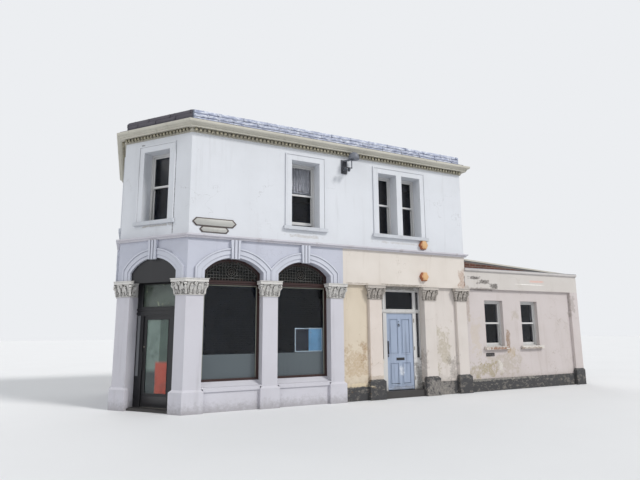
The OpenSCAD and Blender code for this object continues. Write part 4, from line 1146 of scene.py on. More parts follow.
def capital_paths():
    """Each capital's line in plan, from the back of one return to the other, and its first carved corner."""
    def path(i0, x0, i1, x1, back0=RETURN_DEPTH, back1=RETURN_DEPTH, first=1):
        places = [front(i0) @ Vector((x0, back0, 0)), front(i0) @ Vector((x0, 0, 0))]
        if i0 != i1:
            places.append(STARTS[i1])
        places += [front(i1) @ Vector((x1, 0, 0)), front(i1) @ Vector((x1, back1, 0))]
        return places, first
    return ([path(SIDE, SIDE_BAYS[0][1], SIDE, SIDE_BAYS[1][0]),
             path(SIDE, SIDE_BAYS[1][1], SIDE, ARCADE_END, back1=PANEL_RECESS),
             path(MAIN, MAIN_BAYS[0][1], MAIN, MAIN_BAYS[1][0]),
             path(MAIN, 0.0, MAIN, MAIN_BAYS[0][0], first=2),
             path(CORNER, CORNER_BAY[1], SIDE, SIDE_BAYS[0][0]),
             path(MAIN, MAIN_BAYS[1][1], CORNER, CORNER_BAY[0])]
            + [path(SIDE, left, SIDE, right, PANEL_RECESS, PANEL_RECESS) for left, right in PILASTERS])


def sideways(ahead):
    """The level direction to the right of another."""
    return Vector((ahead.y, -ahead.x, 0))


def outward_at(path, k):
    """The direction that halves a corner of a path, as long as it moves both faces out by one."""
    one = sideways((path[k] - path[k - 1]).normalized())
    other = sideways((path[k + 1] - path[k]).normalized())
    return (one + other) / (1 + one.dot(other))


def facing_frame(place, outward):
    """The frame of a thing drawn facing -y, put at a place to face outward."""
    return Matrix.Translation(place) @ Matrix.Rotation(math.atan2(outward.y, outward.x) + math.pi / 2, 4, "Z")


def foot_bead(path, first):
    """The round bead under a capital, run back along its returns."""
    last = len(path) - 2
    foot = [path[k] + BEAD_OUT * outward_at(path, k) + Vector((0, 0, BEAD_Z)) for k in range(first, last + 1)]

    def run_back(at, corner, back):
        away = back - corner
        side = away.normalized()
        return at + side * (away.length - 0.004 - BEAD_OUT * outward_at(path, path.index(corner)).dot(side))
    if first == 1:
        foot.insert(0, run_back(foot[0], path[1], path[0]))
    else:
        foot.insert(0, path[1] + (foot[0] - path[2]) + (path[2] - path[1]).normalized() * 0.03)
    foot.append(run_back(foot[-1], path[last], path[last + 1]))
    return round_line("foot_bead", foot, BEAD_RADIUS)


def carve_capitals(sizes):
    """Leaves, volute ridges, flowers and a foot bead on every capital."""
    width, thickness = sizes.leaf_width, sizes.leaf_thickness
    leaf = carved_leaf("leaf", LEAF_PATH, width, thickness)
    low = carved_leaf("low_leaf", LOW_LEAF_PATH, 0.6 * width, thickness, columns=4)
    corner_leaf = carved_leaf("corner_leaf", CORNER_LEAF_PATH, 0.92 * width, thickness, 0.75)
    ridges = volute_ridges("ridges", sizes.ridge_radius)
    petals = flower_petals("petals")
    parts = []
    for path, first in capital_paths():
        last = len(path) - 2
        for k in range(first, last + 1):
            away = outward_at(path, k)
            stand = facing_frame(path[k], away)
            parts.append(copy_at(corner_leaf, stand))
            volute = Matrix.Translation((0, -VOLUTE_OUT * away.length, VOLUTE_Z))
            parts.append(copy_at(ridges, stand @ volute))
        runs = [(path[k], path[k + 1], True) for k in range(first, last)]
        if first == 1:
            runs.append((path[1], path[0], False))
        runs.append((path[last], path[last + 1], False))
        for start, end, whole in runs:
            length = (end - start).length
            ahead = (end - start).normalized()
            outward = sideways(ahead)
            if start == path[1] and end == path[0]:
                outward = -outward
            if whole:
                middle = facing_frame(start + ahead * length / 2, outward)
                parts.append(copy_at(petals, middle @ Matrix.Translation((0, 0, VOLUTE_Z))))
                at = [length / 2 - LEAF_STEP, length / 2 + LEAF_STEP]
                low_at = [LOW_LEAF_STEP, length / 2 - LOW_LEAF_STEP, length / 2 + LOW_LEAF_STEP,
                          length - LOW_LEAF_STEP]
            else:
                at = [LEAF_RETURN] if length > LONG_RETURN else []
                low_at = [0.042, 0.125] if length > LONG_RETURN else [LOW_LEAF_STEP]
            for kind, places in ((leaf, at), (low, low_at)):
                for x in places:
                    parts.append(copy_at(kind, facing_frame(start + ahead * x, outward)))
        parts.append(foot_bead(path, first))
    remove(leaf, low, corner_leaf, ridges, petals)
    fit(joined("capital_carving", parts), "Carved stone")


# Shop windows

LIGHT_FINISHES = ("Lead came", "Obscure glass", "Amber glass", "Red glass", "Green glass")
BORDER = 0.055
BORDER_PANES = 18
SIDE_PANE = 0.08
PANE = 0.072
ROUNDEL_Z = 3.17
# Rings of the roundel: reach, and the place of its glass in the list of finishes
ROUNDEL = ((0.135, 4), (0.085, 2), (0.035, 3))
# Heights of the bead under the transom, the frosted band and the framed board, and the board's place
TRANSOM_BEAD_Z = (2.828, 2.853)
BAND_Z = (0.66, 1.24)
BOARD_X = (2.79, 3.56)
BOARD_Z = (1.25, 1.84)
BOARD_RIM = 0.024


def cut(piece, point, normal, test):
    """Cuts the faces that pass a test along a plane."""
    pick_faces(piece, test)
    bpy.ops.mesh.bisect(plane_co=point, plane_no=normal)


def light_slots(piece):
    """Gives a piece the lead and the glasses of the arched lights."""
    for finish in LIGHT_FINISHES:
        piece.data.materials.append(FINISHES[finish])
    return piece


def roundel(middle):
    """The rings, coloured glasses and spokes in the middle of an arched light."""
    parts = []
    outer, inner = ROUNDEL[0][0], ROUNDEL[-1][0]
    for reach, colour in ROUNDEL:
        parts.append(light_slots(ring("ring", reach, 0.007, (middle, -0.004, ROUNDEL_Z), (40, 6))))
        pane_y = -0.0045 - (outer - reach) * 0.02
        pane = light_slots(disc("roundel", reach, middle, ROUNDEL_Z, pane_y, 0.002, 24))
        for face in pane.data.polygons:
            face.material_index = colour
        parts.append(pane)
    for k in range(8):
        turn = math.radians(45 * k)
        start, end = [(middle + reach * math.cos(turn), -0.006, ROUNDEL_Z + reach * math.sin(turn))
                      for reach in (inner, outer)]
        parts.append(light_slots(rod("spoke", 0.004, start, end, 6)))
    return parts


def leaded_light(name, bay, came):
    """Leaded panes in the arched light of a shop window, with a border of coloured glass."""
    middle = (bay[0] + bay[1]) / 2
    half = (bay[1] - bay[0]) / 2
    radius = (half * half + ARCH_RISE * ARCH_RISE) / (2 * ARCH_RISE)
    centre = Vector((middle, 0, ARCH_CROWN - radius))
    outer = radius - SHOP_JAMB
    side = half - SHOP_JAMB
    clear_selection()
    bpy.ops.mesh.primitive_circle_add(vertices=160, radius=outer, fill_type="NGON", location=centre,
                                      rotation=UPRIGHT)
    sheet = light_slots(named(name))
    for point, away in (((0, 0, PIER_TOP), (0, 0, -1)), ((middle - side, 0, 0), (-1, 0, 0)),
                        ((middle + side, 0, 0), (1, 0, 0))):
        start_edit(sheet, "SELECT")
        bpy.ops.mesh.bisect(plane_co=point, plane_no=away, clear_outer=True)
        end_edit()
    start_edit(sheet, "SELECT")
    bpy.ops.mesh.inset(thickness=BORDER, depth=0)

    def by_side(at, normal):
        return abs(at.x - middle) > side - BORDER

    def in_border(at, normal):
        far = math.hypot(at.x - centre.x, at.z - centre.z) > outer - BORDER
        return far or at.z < PIER_TOP + BORDER or by_side(at, normal)

    def in_middle(at, normal):
        return not in_border(at, normal)
    for k in range(1, BORDER_PANES):
        cut(sheet, (middle - side + 2 * side * k / BORDER_PANES, 0, 0), (1, 0, 0), in_border)
    for k in range(1, 3):
        cut(sheet, (0, 0, PIER_TOP + BORDER + SIDE_PANE * k), (0, 0, 1), by_side)
    columns = int((side - BORDER) / PANE)
    for k in range(-columns, columns + 1):
        cut(sheet, (middle + k * PANE, 0, 0), (1, 0, 0), in_middle)
    for k in range(1, 6):
        cut(sheet, (0, 0, PIER_TOP + BORDER + k * PANE), (0, 0, 1), in_middle)
    mesh = bmesh.from_edit_mesh(sheet.data)
    ordered = sorted((face for face in mesh.faces), key=lambda face: face.calc_center_median().x)
    for k, face in enumerate(ordered):
        face.material_index = 2 + k % 3 if in_border(face.calc_center_median(), face.normal) else 1
    bmesh.update_edit_mesh(sheet.data)
    bpy.ops.mesh.select_all(action="SELECT")
    bpy.ops.mesh.inset(thickness=came / 2, depth=-0.002, use_individual=True)
    mesh = bmesh.from_edit_mesh(sheet.data)
    for face in mesh.faces:
        if not face.select:
            face.material_index = 0
    bmesh.update_edit_mesh(sheet.data)
    end_edit()
    finish_with(sheet, "SOLIDIFY", thickness=0.006, offset=-1.0)
    return joined(name, [sheet] + roundel(middle))


CLASSES = []


def registered(cls):
    CLASSES.append(cls)
    return cls


@registered
class SHOP_OT_finishes(bpy.types.Operator):
    """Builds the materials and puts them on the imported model's nodes"""
    bl_idname = "shop.finishes"
    bl_label = "Finishes"

    def execute(self, context):
        for effect in EFFECTS:
            effect()
        for make in (make_walls, make_stones, make_joinery, make_fittings):
            make(context.scene.shop_look)
        for finish, names in NODE_FINISHES.items():
            for name in names:
                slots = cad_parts[name].data.materials
                slots.clear()
                slots.append(FINISHES[finish])
        return {"FINISHED"}


@registered
class SHOP_OT_capitals(bpy.types.Operator):
    """Carves the leaves, volutes and flowers of the capitals"""
    bl_idname = "shop.capitals"
    bl_label = "Capitals"

    def execute(self, context):
        carve_capitals(context.scene.shop_sizes)
        return {"FINISHED"}


# Lead courses of the parapet, from the lowest up
LEAD_COURSES = ((6.745, 6.845), (6.835, 6.93), (6.92, 7.007))
# How far the lead stops short of a mitre
LEAD_STOP = 0.03
# Lead edge over the cornice: spacing of its lengths, their lap, their depths and heights
FLASHING_STEP = 0.68
FLASHING_LAP = 0.06
FLASHING_Y = (-0.234, 0.012)
FLASHING_Z = (6.682, 6.692)
# Rolls of both roofs: how many, the first one's place and the spacing
ROOF_ROLLS = (12, 0.55, 0.62)
ANNEX_ROLLS = (8, 0.3, 0.6)


def parapet_sheets(i, sheet_length, rng):
    """Lapped and rolled lead sheets on one front's parapet."""
    parts = []
    start = LEAD_STOP
    end = FRONT_LENGTH[i] - (0.0 if i == SIDE else LEAD_STOP)
    for row, (low, high) in enumerate(LEAD_COURSES):
        x = start - sheet_length * (0.5 if row % 2 else 0.0)
        while x < end - 0.02:
            x0 = max(start, x)
            x1 = min(end, x + sheet_length * rng.uniform(0.92, 1.08))
            lift = rng.uniform(0.0, 0.004)
            sheet = block("lead_sheet", (x0, x1), (0.004 - lift, 0.021), (low - rng.uniform(0, 0.006), high))
            parts.append(pushed(sheet, underside, (0, -0.004, 0)))
            if x1 < end - 0.05:
                parts.append(block("lead_roll", about(x1, 0.014), (-0.012, 0.016), (low, high - 0.002)))
            x = x1
    for k in range(int((end - start) / sheet_length) + 1):
        x = start + (k + 0.35) * sheet_length
        if x < end - 0.03:
            parts.append(block("top_roll", about(x, 0.016), (0.0, 0.255), (6.995, 7.0095)))
    return eased(joined(FRONT_NAMES[i] + "_parapet_lead", parts), 0.004)


def cornice_flashing(i):
    """The lead edge over one front's cornice, in lapped lengths that turn up at the back."""
    laps = []
    for k in range(int(FRONT_LENGTH[i] / FLASHING_STEP) + 1):
        x0 = max(0.0 if i else LEAD_STOP, FLASHING_STEP * k - FLASHING_LAP)
        x1 = min(FRONT_LENGTH[i] - (0.02 if i == SIDE else 0.0), FLASHING_STEP * k + 0.66)
        lap = block("flashing", (x0, x1), FLASHING_Y, (FLASHING_Z[0], FLASHING_Z[1] + 0.003 * (k % 2)))
        laps.append(pushed(lap, back_side, (0, 0, 0.058)))
    return smooth(eased(joined(FRONT_NAMES[i] + "_cornice_flashing", laps), 0.003))


@registered
class SHOP_OT_parapet_lead(bpy.types.Operator):
    """Dresses the parapet with lapped and rolled lead sheets"""
    bl_idname = "shop.parapet_lead"
    bl_label = "Parapet lead"

    def execute(self, context):
        rng = random.Random(7)
        for i, finish in ((SIDE, "Weathered lead"), (CORNER, "Dark lead"), (MAIN, "Dark lead")):
            lead = parapet_sheets(i, context.scene.shop_sizes.sheet_length, rng)
            fit(smooth(standing(lead, i)), finish)
            fit(standing(cornice_flashing(i), i), "Dark lead")
        return {"FINISHED"}


def roof_rolls(rolls, radius, y, z):
    """Rolls that run from front to back."""
    count, first, step = rolls
    places = [first + step * k for k in range(count)]
    return [rod("roll", radius, (x, y[0], z), (x, y[1], z), 10) for x in places]


@registered
class SHOP_OT_roofs(bpy.types.Operator):
    """Lays rolls on both roofs, and the trim along the annex's verge"""
    bl_idname = "shop.roofs"
    bl_label = "Roof rolls and verge"

    def execute(self, context):
        rolls = roof_rolls(ROOF_ROLLS, 0.022, (0.30, 5.22), ROOF_TOP + 0.008)
        rolls.append(block("gutter_sole", (0.30, 7.8), (0.31, 0.42), (ROOF_TOP - 0.002, ROOF_TOP + 0.012)))
        fit(smooth(eased(joined("roof_rolls", rolls), 0.003)), "Lead")
        fall = math.atan2(ANNEX_FALL, ANNEX_LENGTH)
        slope = Matrix.Translation((ANNEX_START, 0, ANNEX_ROOF_TOP)) @ Matrix.Rotation(fall, 4, "Y")
        annex_rolls = smooth(joined("annex_roof_rolls", roof_rolls(ANNEX_ROLLS, 0.018, (0.24, 4.12), 0.004)))
        annex_rolls.data.transform(slope)
        fit(annex_rolls, "Annex roofing")
        trim = block("verge_trim", (0.01, 4.80), (COPING_BACK - 0.018, COPING_BACK - 0.002), (-0.038, 0.006))
        reshaped(trim, street_side, bpy.ops.mesh.inset, thickness=0.010, depth=-0.004)
        trim.data.transform(slope)
        fit(smooth(eased(trim, 0.003)), "Verge trim")
        return {"FINISHED"}


@registered
class SHOP_OT_fanlights(bpy.types.Operator):
    """Leads the arched lights of the shop windows and lines their transoms"""
    bl_idname = "shop.fanlights"
    bl_label = "Leaded fanlights"

    def execute(self, context):
        came = context.scene.shop_sizes.came_width
        beads = {SIDE: [], MAIN: []}
        for k, (i, bay) in enumerate(SHOP_BAYS):
            light = leaded_light(f"{FRONT_NAMES[i]}_leaded_light_{k % 2 + 1}", bay, came)
            light.data.transform(Matrix.Translation((0, SHOP_GLASS_Y - 0.012, 0)))
            fit(standing(light, i), None)
            left, right = bay[0] + SHOP_JAMB, bay[1] - SHOP_JAMB
            beads[i].append(bar("bead", (left, right), (0.262, 0.284), TRANSOM_BEAD_Z, 0.006))
            upright_z = (0.70, TRANSOM_BEAD_Z[0])
            for x in (left + 0.011, right - 0.011):
                beads[i].append(bar("bead", about(x, 0.010), (0.266, 0.284), upright_z, 0.006))
        for i, parts in beads.items():
            fit_joined(FRONT_NAMES[i] + "_window_beads", parts, "Pale bead", at=i)
        return {"FINISHED"}


@registered
class SHOP_OT_window_bands(bpy.types.Operator):
    """Puts the frosted bands and the framed board behind the shop glass"""
    bl_idname = "shop.window_bands"
    bl_label = "Bands and board"

    def execute(self, context):
        for k, (i, bay) in enumerate(SHOP_BAYS):
            left, right = bay[0] + SHOP_JAMB + 0.022, bay[1] - SHOP_JAMB - 0.022
            band = bar(f"{FRONT_NAMES[i]}_frosted_band_{k % 2 + 1}", (left, right),
                       (SHOP_GLASS_Y - 0.0015, SHOP_GLASS_Y - 0.0002), BAND_Z, 0.0004)
            fit(standing(band, i), "Frosted band")
        border = moulded_frame("board_frame", BOARD_X, (0.298, 0.312), BOARD_Z, 0.026)
        fit(border, "Board frame")
        inner_z = (BOARD_Z[0] + BOARD_RIM, BOARD_Z[1] - BOARD_RIM)
        dark = bar("board_dark_half", (BOARD_X[0] + BOARD_RIM, 3.17), (0.301, 0.310), inner_z, 0.002)
        fit(dark, "Board dark half")
        pale = bar("board_pale_half", (3.172, BOARD_X[1] - BOARD_RIM), (0.300, 0.310), inner_z, 0.002)
        fit(pale, "Board pale half")
        return {"FINISHED"}


# Side door: its panels across and in height, its lock, its knocker and its butts
PANELS_ACROSS = ((5.584, 5.881), (5.979, 6.276))
PANELS_UP = ((0.314, 0.906), (1.114, 2.086))
LOCK_X = 5.54
KNOCKER_X = 5.90
BUTTS_UP = (0.42, 1.22, 1.98)
# Its frame's lights: the fanlight across, the side lights across, and their heights
FANLIGHT_X = (5.452, 6.398)
SIDE_LIGHTS_X = ((6.467, 6.593), (5.237, 5.383))
SIDE_LIGHT_Z = (1.002, 2.248)
FANLIGHT_Z = (2.322, 2.838)
FRAME_BEAD_Y = (0.222, 0.231)


@registered
class SHOP_OT_side_door(bpy.types.Operator):
    """Adds the side door's mouldings, flap, lock, knocker and weather bar, and its frame's beads"""
    bl_idname = "shop.side_door"
    bl_label = "Side door"

    def execute(self, context):
        leaf = "side_door_leaf"
        mouldings = []
        for x in PANELS_ACROSS:
            for z in PANELS_UP:
                mouldings.append(moulded_frame("moulding", x, (0.249, 0.260), z, 0.022, 0.006))
        fit_joined("side_door_mouldings", mouldings, "Pale blue paint", leaf)
        weather_bar = block("weather_bar", (5.50, 6.35), (0.232, 0.257), (0.196, 0.246))
        start_edit(weather_bar)
        bpy.ops.mesh.select_mode(type="EDGE")
        mesh = bmesh.from_edit_mesh(weather_bar.data)
        for edge in mesh.edges:
            middle = (edge.verts[0].co + edge.verts[1].co) / 2
            edge.select_set(middle.z > 0.24 and middle.y < 0.24)
        bmesh.update_edit_mesh(weather_bar.data)
        bpy.ops.mesh.bevel(offset=0.018, segments=3, affect="EDGES")
        end_edit()
        fit(smooth(weather_bar), "Pale blue paint", leaf)
        metal = [bar("flap", (5.825, 6.035), (0.2465, 0.2505), (0.972, 1.018), 0.0015),
                 disc("lock", 0.022, LOCK_X, 1.155, 0.245, 0.012, 24),
                 disc("lock_core", 0.010, LOCK_X, 1.155, 0.242, 0.006, 16),
                 bar("keyhole_plate", about(LOCK_X, 0.018), (0.251, 0.257), (1.055, 1.105), 0.003),
                 disc("peephole", 0.012, KNOCKER_X, 2.0, 0.250, 0.008, 20),
                 disc("knocker_foot", 0.020, KNOCKER_X, 1.925, 0.244, 0.014, 24),
                 ring("knocker_ring", 0.028, 0.005, (KNOCKER_X, 0.240, 1.897), (24, 8))]
        fit_joined("side_door_metal", metal, "Black metal", leaf)
        butts = [bar("butt", (6.381, 6.412), (0.2275, 0.231), (z, z + 0.10), 0.001) for z in BUTTS_UP]
        fit(joined("side_door_butts", butts), "Worn bright metal")
        beads = [moulded_frame("bead", FANLIGHT_X, FRAME_BEAD_Y, FANLIGHT_Z, 0.022, 0.004)]
        for z in (SIDE_LIGHT_Z, FANLIGHT_Z):
            for x in SIDE_LIGHTS_X:
                beads.append(moulded_frame("bead", x, FRAME_BEAD_Y, z, 0.016, 0.004))
        beads.append(bar("drip", (5.22, 6.605), (0.212, 0.232), (2.250, 2.268), 0.005))
        fit_joined("side_frame_beads", beads, "Door frame paint")
        return {"FINISHED"}


# Corner door's lock, across and in height
CORNER_LOCK = (0.645, 1.42)


@registered
class SHOP_OT_corner_door(bpy.types.Operator):
    """Adds the corner door's beads, blind, kick plate and lock, and what shows beside and over it"""
    bl_idname = "shop.corner_door"
    bl_label = "Corner door"

    def execute(self, context):
        leaf = "corner_door_leaf"
        bead = moulded_frame("corner_glass_bead", (0.682, 1.358), (0.298, 0.307), (0.352, 2.068), 0.020,
                             0.004)
        fit_joined("corner_glass_bead", [bead], "Black paint", leaf, CORNER)
        blind = bar("corner_blind", (0.694, 1.346), (0.3335, 0.3365), (0.364, 2.056), 0.001)
        fit(standing(blind, CORNER), "Blind", leaf)
        kick = [bar("corner_kick_plate", (0.66, 1.38), (0.3025, 0.306), (0.09, 0.30), 0.0015)]
        kick += [disc("screw", 0.006, x, z, 0.3005, 0.004, 10)
                 for x in (0.69, 1.02, 1.35) for z in (0.115, 0.275)]
        fit_joined("corner_kick_plate", kick, "Black metal", leaf, CORNER)
        lock = [disc("lock", 0.018, *CORNER_LOCK, 0.296, 0.012, 20),
                disc("core", 0.008, *CORNER_LOCK, 0.293, 0.006, 12)]
        fit_joined("corner_lock", lock, "Worn bright metal", leaf, CORNER)
        strip = bar("corner_grey_strip", (0.435, 0.515), (0.274, 0.2805), (0.75, 2.15), 0.002)
        fit(standing(strip, CORNER), "Grey strip")
        sheet = bar("corner_fanlight_sheet", (0.545, 1.695), (0.3345, 0.337), (2.345, 2.885), 0.001)
        fit(standing(sheet, CORNER), "Fanlight sheet")
        beads = [moulded_frame("bead", (0.534, 1.706), (0.270, 0.281), (2.334, 2.896), 0.022, 0.004),
                 moulded_frame("bead", (1.514, 1.706), (0.272, 0.281), (0.394, 2.156), 0.018, 0.004)]
        fit_joined("corner_frame_beads", beads, "Black paint", at=CORNER)
        step = bar("corner_threshold", (0.60, 1.44), (0.285, 0.348), (0.0502, 0.0560), 0.002)
        fit(standing(step, CORNER), "Worn bright metal")
        return {"FINISHED"}


@registered
class SHOP_OT_sash_details(bpy.types.Operator):
    """Gives the sliding sashes their beads, horns, fasteners and putty lines"""
    bl_idname = "shop.sash_details"
    bl_label = "Sash details"

    def execute(self, context):
        wood, metal = [], []
        for i, (left, right), (sill, head), meet, recess, lift in WINDOWS:
            y0 = recess + SASH_SET
            bead_y = (recess + 0.002, y0 + 0.001)
            inner = (left + BOX_WIDTH, right - BOX_WIDTH)
            parts = []
            for x in (inner[0] + 0.006, inner[1] - 0.006):
                parts.append(bar("stop_bead", about(x, 0.006), bead_y, (sill + 0.03, head - 0.03), 0.002))
            parts.append(bar("head_bead", inner, bead_y, (head - 0.057, head - 0.045), 0.002))
            for x in (inner[0] + 0.004, inner[1] - 0.044):
                horn = block("horn", (x, x + HORN_WIDTH), (y0 + 0.001, y0 + SASH_DEPTH - 0.002),
                             (meet - 0.075, meet - 0.016))
                reshaped(horn, underside, bpy.ops.transform.resize, value=(0.35, 0.7, 1),
                         center_override=(x + 0.02, y0 + 0.022, meet))
                parts.append(eased(horn, 0.004))
            pane_x = (inner[0] + SASH_WIDTH - 0.004, inner[1] - SASH_WIDTH + 0.004)
            pane_z = (meet + 0.022 - 0.004, head - BOX_WIDTH - SASH_WIDTH + 0.004)
            parts.append(moulded_frame("putty", pane_x, (y0 + 0.006, y0 + 0.016), pane_z, 0.011, 0.004))
            wood.append(standing(joined("sash_parts", parts), i))
            middle = (left + right) / 2
            catch = bar("catch", about(middle, 0.03), (y0 + 0.012, y0 + 0.034),
                        (meet + 0.020 + lift, meet + 0.030 + lift), 0.002)
            metal.append(standing(catch, i))
        fit_joined("sash_mouldings", wood, "White joinery")
        fit_joined("sash_catches", metal, "Worn bright metal")
        return {"FINISHED"}


@registered
class SHOP_OT_curtain(bpy.types.Operator):
    """Hangs the net curtain behind the single window's upper sash"""
    bl_idname = "shop.curtain"
    bl_label = "Net curtain"

    def execute(self, context):
        drop = context.scene.shop_sizes.curtain_drop
        left, right, top, depth = 2.62, 3.29, 6.06, 0.385
        net = grid("net_curtain", 96, 14)
        for point in net.data.vertices:
            share = point.co.x + 0.5
            rise = point.co.y + 0.5
            fold = 2 * math.pi * (9 * share + 0.5 * math.sin(5 * share))
            swing = (0.020 - 0.007 * rise) * math.sin(fold) + 0.006 * (1 - rise) * math.sin(2.3 * fold)
            point.co = (left + (right - left) * share, depth + swing, top - drop * (1 - rise))
        rows_of = {}
        for point in net.data.vertices:
            rows_of.setdefault(round(point.co.z, 4), []).append(point.co.copy())
        for row in rows_of.values():
            row.sort(key=lambda place: place.x)
        fit(smooth(net, 80), "Net")
        rail_z = top - 0.004
        rail = [rod("curtain_rail", 0.007, (left - 0.045, depth, rail_z), (right + 0.045, depth, rail_z), 12)]
        rail += [rod("rail_end", 0.012, (x, depth, rail_z), (x + 0.012, depth, rail_z), 12)
                 for x in (left - 0.055, right + 0.043)]
        fit_joined("curtain_rail", rail, "Worn bright metal")
        return {"FINISHED"}


# Places of the alarm boxes along the side street and in height, and of the lamp along it
ALARM_PLACES = ((6.64, 4.15), (6.62, 3.25))
LAMP_X = 4.095


def plate_tier(name, outer, inner, z, y):
    """One tier of the street plate: a board whose ends taper."""
    tier = reshaped(block(name, outer, y, z), ends, bpy.ops.mesh.subdivide, number_cuts=1)
    middle_z = (z[0] + z[1]) / 2
    for point in tier.data.vertices:
        off = abs(point.co.z - middle_z) / ((z[1] - z[0]) / 2)
        if point.co.x < inner[0]:
            point.co.x = outer[0] + (inner[0] - outer[0]) * off
        if point.co.x > inner[1]:
            point.co.x = outer[1] - (outer[1] - inner[1]) * off
    return tier


@registered
class SHOP_OT_wall_pieces(bpy.types.Operator):
    """Makes the bare plate at the corner, the alarm boxes' covers, the lamp's fittings and the vent"""
    bl_idname = "shop.wall_pieces"
    bl_label = "Plate, alarms, lamp and vent"

    def execute(self, context):
        rim = [plate_tier("plate_rim", (0.07, 1.13), (0.16, 1.04), (4.18, 4.38), (-0.016, 0.001)),
               plate_tier("plate_rim", (0.24, 0.95), (0.30, 0.89), (4.035, 4.183), (-0.014, 0.001))]
        fit(smooth(eased(joined("plate_rim", rim), 0.004)), "Plate rim")
        plate = [plate_tier("plate_field", (0.11, 1.09), (0.185, 1.015), (4.205, 4.355), (-0.0185, -0.014)),
                 plate_tier("plate_field", (0.28, 0.91), (0.33, 0.86), (4.055, 4.160), (-0.0165, -0.012))]
        fit(smooth(eased(joined("plate_field", plate), 0.002)), "Plate enamel")
        for k, (x, z) in enumerate(ALARM_PLACES):
            cover = disc("alarm_cover", 0.098, x, z, -0.1055, 0.008, 6)
            reshaped(cover, street_side, bpy.ops.mesh.inset, thickness=0.012, depth=0.003)
            parts = [eased(cover, 0.002), disc("alarm_lens", 0.013, x, z - 0.062, -0.110, 0.006, 16)]
            parts += [disc("alarm_screw", 0.006, x + off, z, -0.1085, 0.004, 10) for off in (-0.075, 0.075)]
            fit_joined(f"alarm_cover_{k + 1}", parts, "Faded plastic with painted shade")
        lenses = [disc("lens", 0.030, LAMP_X + off, 5.9925, -0.2905, 0.006, 24) for off in (-0.115, 0.015)]
        fit_joined("lamp_lenses", lenses, "Lamp lens")
        fixings = [disc("bolt", 0.009, x, z, -0.036, 0.008, 6)
                   for x in about(LAMP_X, 0.065) for z in (5.965, 6.295)]
        fixings.append(moulded_frame("plate_edge", about(LAMP_X, 0.08), (-0.034, -0.029), (5.945, 6.315),
                                     0.014))
        fit_joined("lamp_fixings", fixings, "Lamp metal")
        vent = [moulded_frame("vent_rim", (8.88, 9.21), (0.070, 0.082), (0.985, 1.085), 0.016, 0.003)]
        for k in range(5):
            slat = block("slat", (8.892, 9.198), (0.074, 0.081), (0.998 + 0.016 * k, 1.006 + 0.016 * k))
            vent.append(pushed(slat, street_side, (0, 0, -0.004)))
        fit_joined("annex_vent", vent, "Black metal")
        return {"FINISHED"}


@registered
class SHOP_OT_stage(bpy.types.Operator):
    """Sets the floor, the studio light and the camera"""
    bl_idname = "shop.stage"
    bl_label = "Stage"

    def execute(self, context):
        lay_floor()
        light_scene(context.scene)
        place_camera(context.scene)
        context.scene.view_settings.view_transform = "Standard"
        return {"FINISHED"}


class SHOP_PT_panel(bpy.types.Panel):
    """Lists the building's sizes, colours and steps"""
    bl_idname = "SHOP_PT_panel"
    bl_label = "Corner shop building"
    bl_space_type = "VIEW_3D"
    bl_region_type = "UI"
    bl_category = "Corner shop"

    def draw(self, context):
        for group in (context.scene.shop_look, context.scene.shop_sizes):
            box = self.layout.box()
            for name in group.__annotations__:
                box.prop(group, name)
        for cls in CLASSES:
            self.layout.operator(cls.bl_idname)


CAMERA_PLACE = Vector((-2.425287, -11.586414, 1.768992))
CAMERA_YAW = 0.463131
CAMERA_PITCH = 0.176006
CAMERA_ROLL = -0.006547
FOCAL_PIXELS = 509.995593
IMAGE_WIDTH = 640
SENSOR_WIDTH = 36.0
# Lamps: name, turn about x and z in degrees, strength, softness in degrees
LAMPS = (("Key", 50, 34, 2.0, 13), ("Fill", 62, -62, 0.75, 60), ("Back", 55, 170, 0.9, 60))
LAMP_COLOUR = (1.0, 0.98, 0.95)
WORLD_STRENGTH = 0.44


def lay_floor():
    """A pale floor."""
    clear_selection()
    bpy.ops.mesh.primitive_plane_add(size=240, location=(4, 2, -0.002))
    floor = named("floor")
    main, place = new_finish("Pale floor")
    fill(main.inputs, {"Base Color": blended(noise(place, 0.4, 3), tint(222, 223, 225), tint(227, 228, 230)),
                       "Roughness": 0.9})
    floor.data.materials.append(FINISHES["Pale floor"])


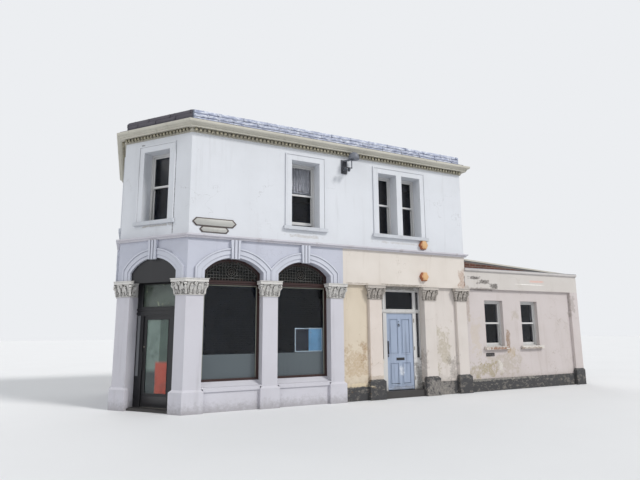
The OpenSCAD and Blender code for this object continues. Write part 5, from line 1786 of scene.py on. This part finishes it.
def light_scene(scene):
    """Soft studio light, with a pale backdrop for the camera and for glass."""
    world = bpy.data.worlds.new("Studio")
    scene.world = world
    world.use_nodes = True
    tree = world.node_tree
    tree.nodes.clear()
    rays = shader(tree, "LightPath")
    seen = most(Field(rays["Is Camera Ray"]),
                most(Field(rays["Is Glossy Ray"]), Field(rays["Is Transmission Ray"])))
    lit = Field(shader(tree, "Background", {"Color": (0.90, 0.95, 1.0, 1), "Strength": WORLD_STRENGTH})[0])
    shown = Field(shader(tree, "Background", {"Color": tint(236, 238, 241), "Strength": 1.0})[0])
    shader(tree, "OutputWorld", {"Surface": field("MixShader", {0: seen, 1: lit, 2: shown})})
    for name, tilt, turn, strength, softness in LAMPS:
        lamp = bpy.data.lights.new(name, "SUN")
        lamp.energy = strength
        lamp.angle = math.radians(softness)
        lamp.color = LAMP_COLOUR
        holder = bpy.data.objects.new(name, lamp)
        holder.rotation_euler = (math.radians(tilt), 0, math.radians(turn))
        scene.collection.objects.link(holder)


def place_camera(scene):
    """The photograph's camera."""
    camera = bpy.data.cameras.new("Camera")
    camera.sensor_width = SENSOR_WIDTH
    camera.lens = FOCAL_PIXELS / IMAGE_WIDTH * SENSOR_WIDTH
    camera.clip_end = 500
    eye = bpy.data.objects.new("Camera", camera)
    scene.collection.objects.link(eye)
    level = math.cos(CAMERA_PITCH)
    ahead = Vector((math.sin(CAMERA_YAW) * level, math.cos(CAMERA_YAW) * level, math.sin(CAMERA_PITCH)))
    right = Vector((math.cos(CAMERA_YAW), -math.sin(CAMERA_YAW), 0))
    up = right.cross(ahead)
    turned_right = math.cos(CAMERA_ROLL) * right + math.sin(CAMERA_ROLL) * up
    turned_up = -math.sin(CAMERA_ROLL) * right + math.cos(CAMERA_ROLL) * up
    matrix = Matrix((turned_right, turned_up, -ahead)).transposed().to_4x4()
    matrix.translation = CAMERA_PLACE
    eye.matrix_world = matrix
    scene.camera = eye


def register():
    for cls in (ShopLook, ShopSizes, *CLASSES, SHOP_PT_panel):
        bpy.utils.register_class(cls)
    bpy.types.Scene.shop_look = bpy.props.PointerProperty(type=ShopLook)
    bpy.types.Scene.shop_sizes = bpy.props.PointerProperty(type=ShopSizes)


def unregister():
    del bpy.types.Scene.shop_look
    del bpy.types.Scene.shop_sizes
    for cls in (SHOP_PT_panel, *reversed(CLASSES), ShopSizes, ShopLook):
        bpy.utils.unregister_class(cls)


def main():
    register()
    steps = bpy.ops.shop
    for step in (steps.finishes, steps.capitals, steps.parapet_lead, steps.roofs, steps.fanlights,
                 steps.window_bands, steps.side_door, steps.corner_door, steps.sash_details, steps.curtain,
                 steps.wall_pieces, steps.stage):
        step()
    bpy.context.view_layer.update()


if __name__ == "__main__":
    main()
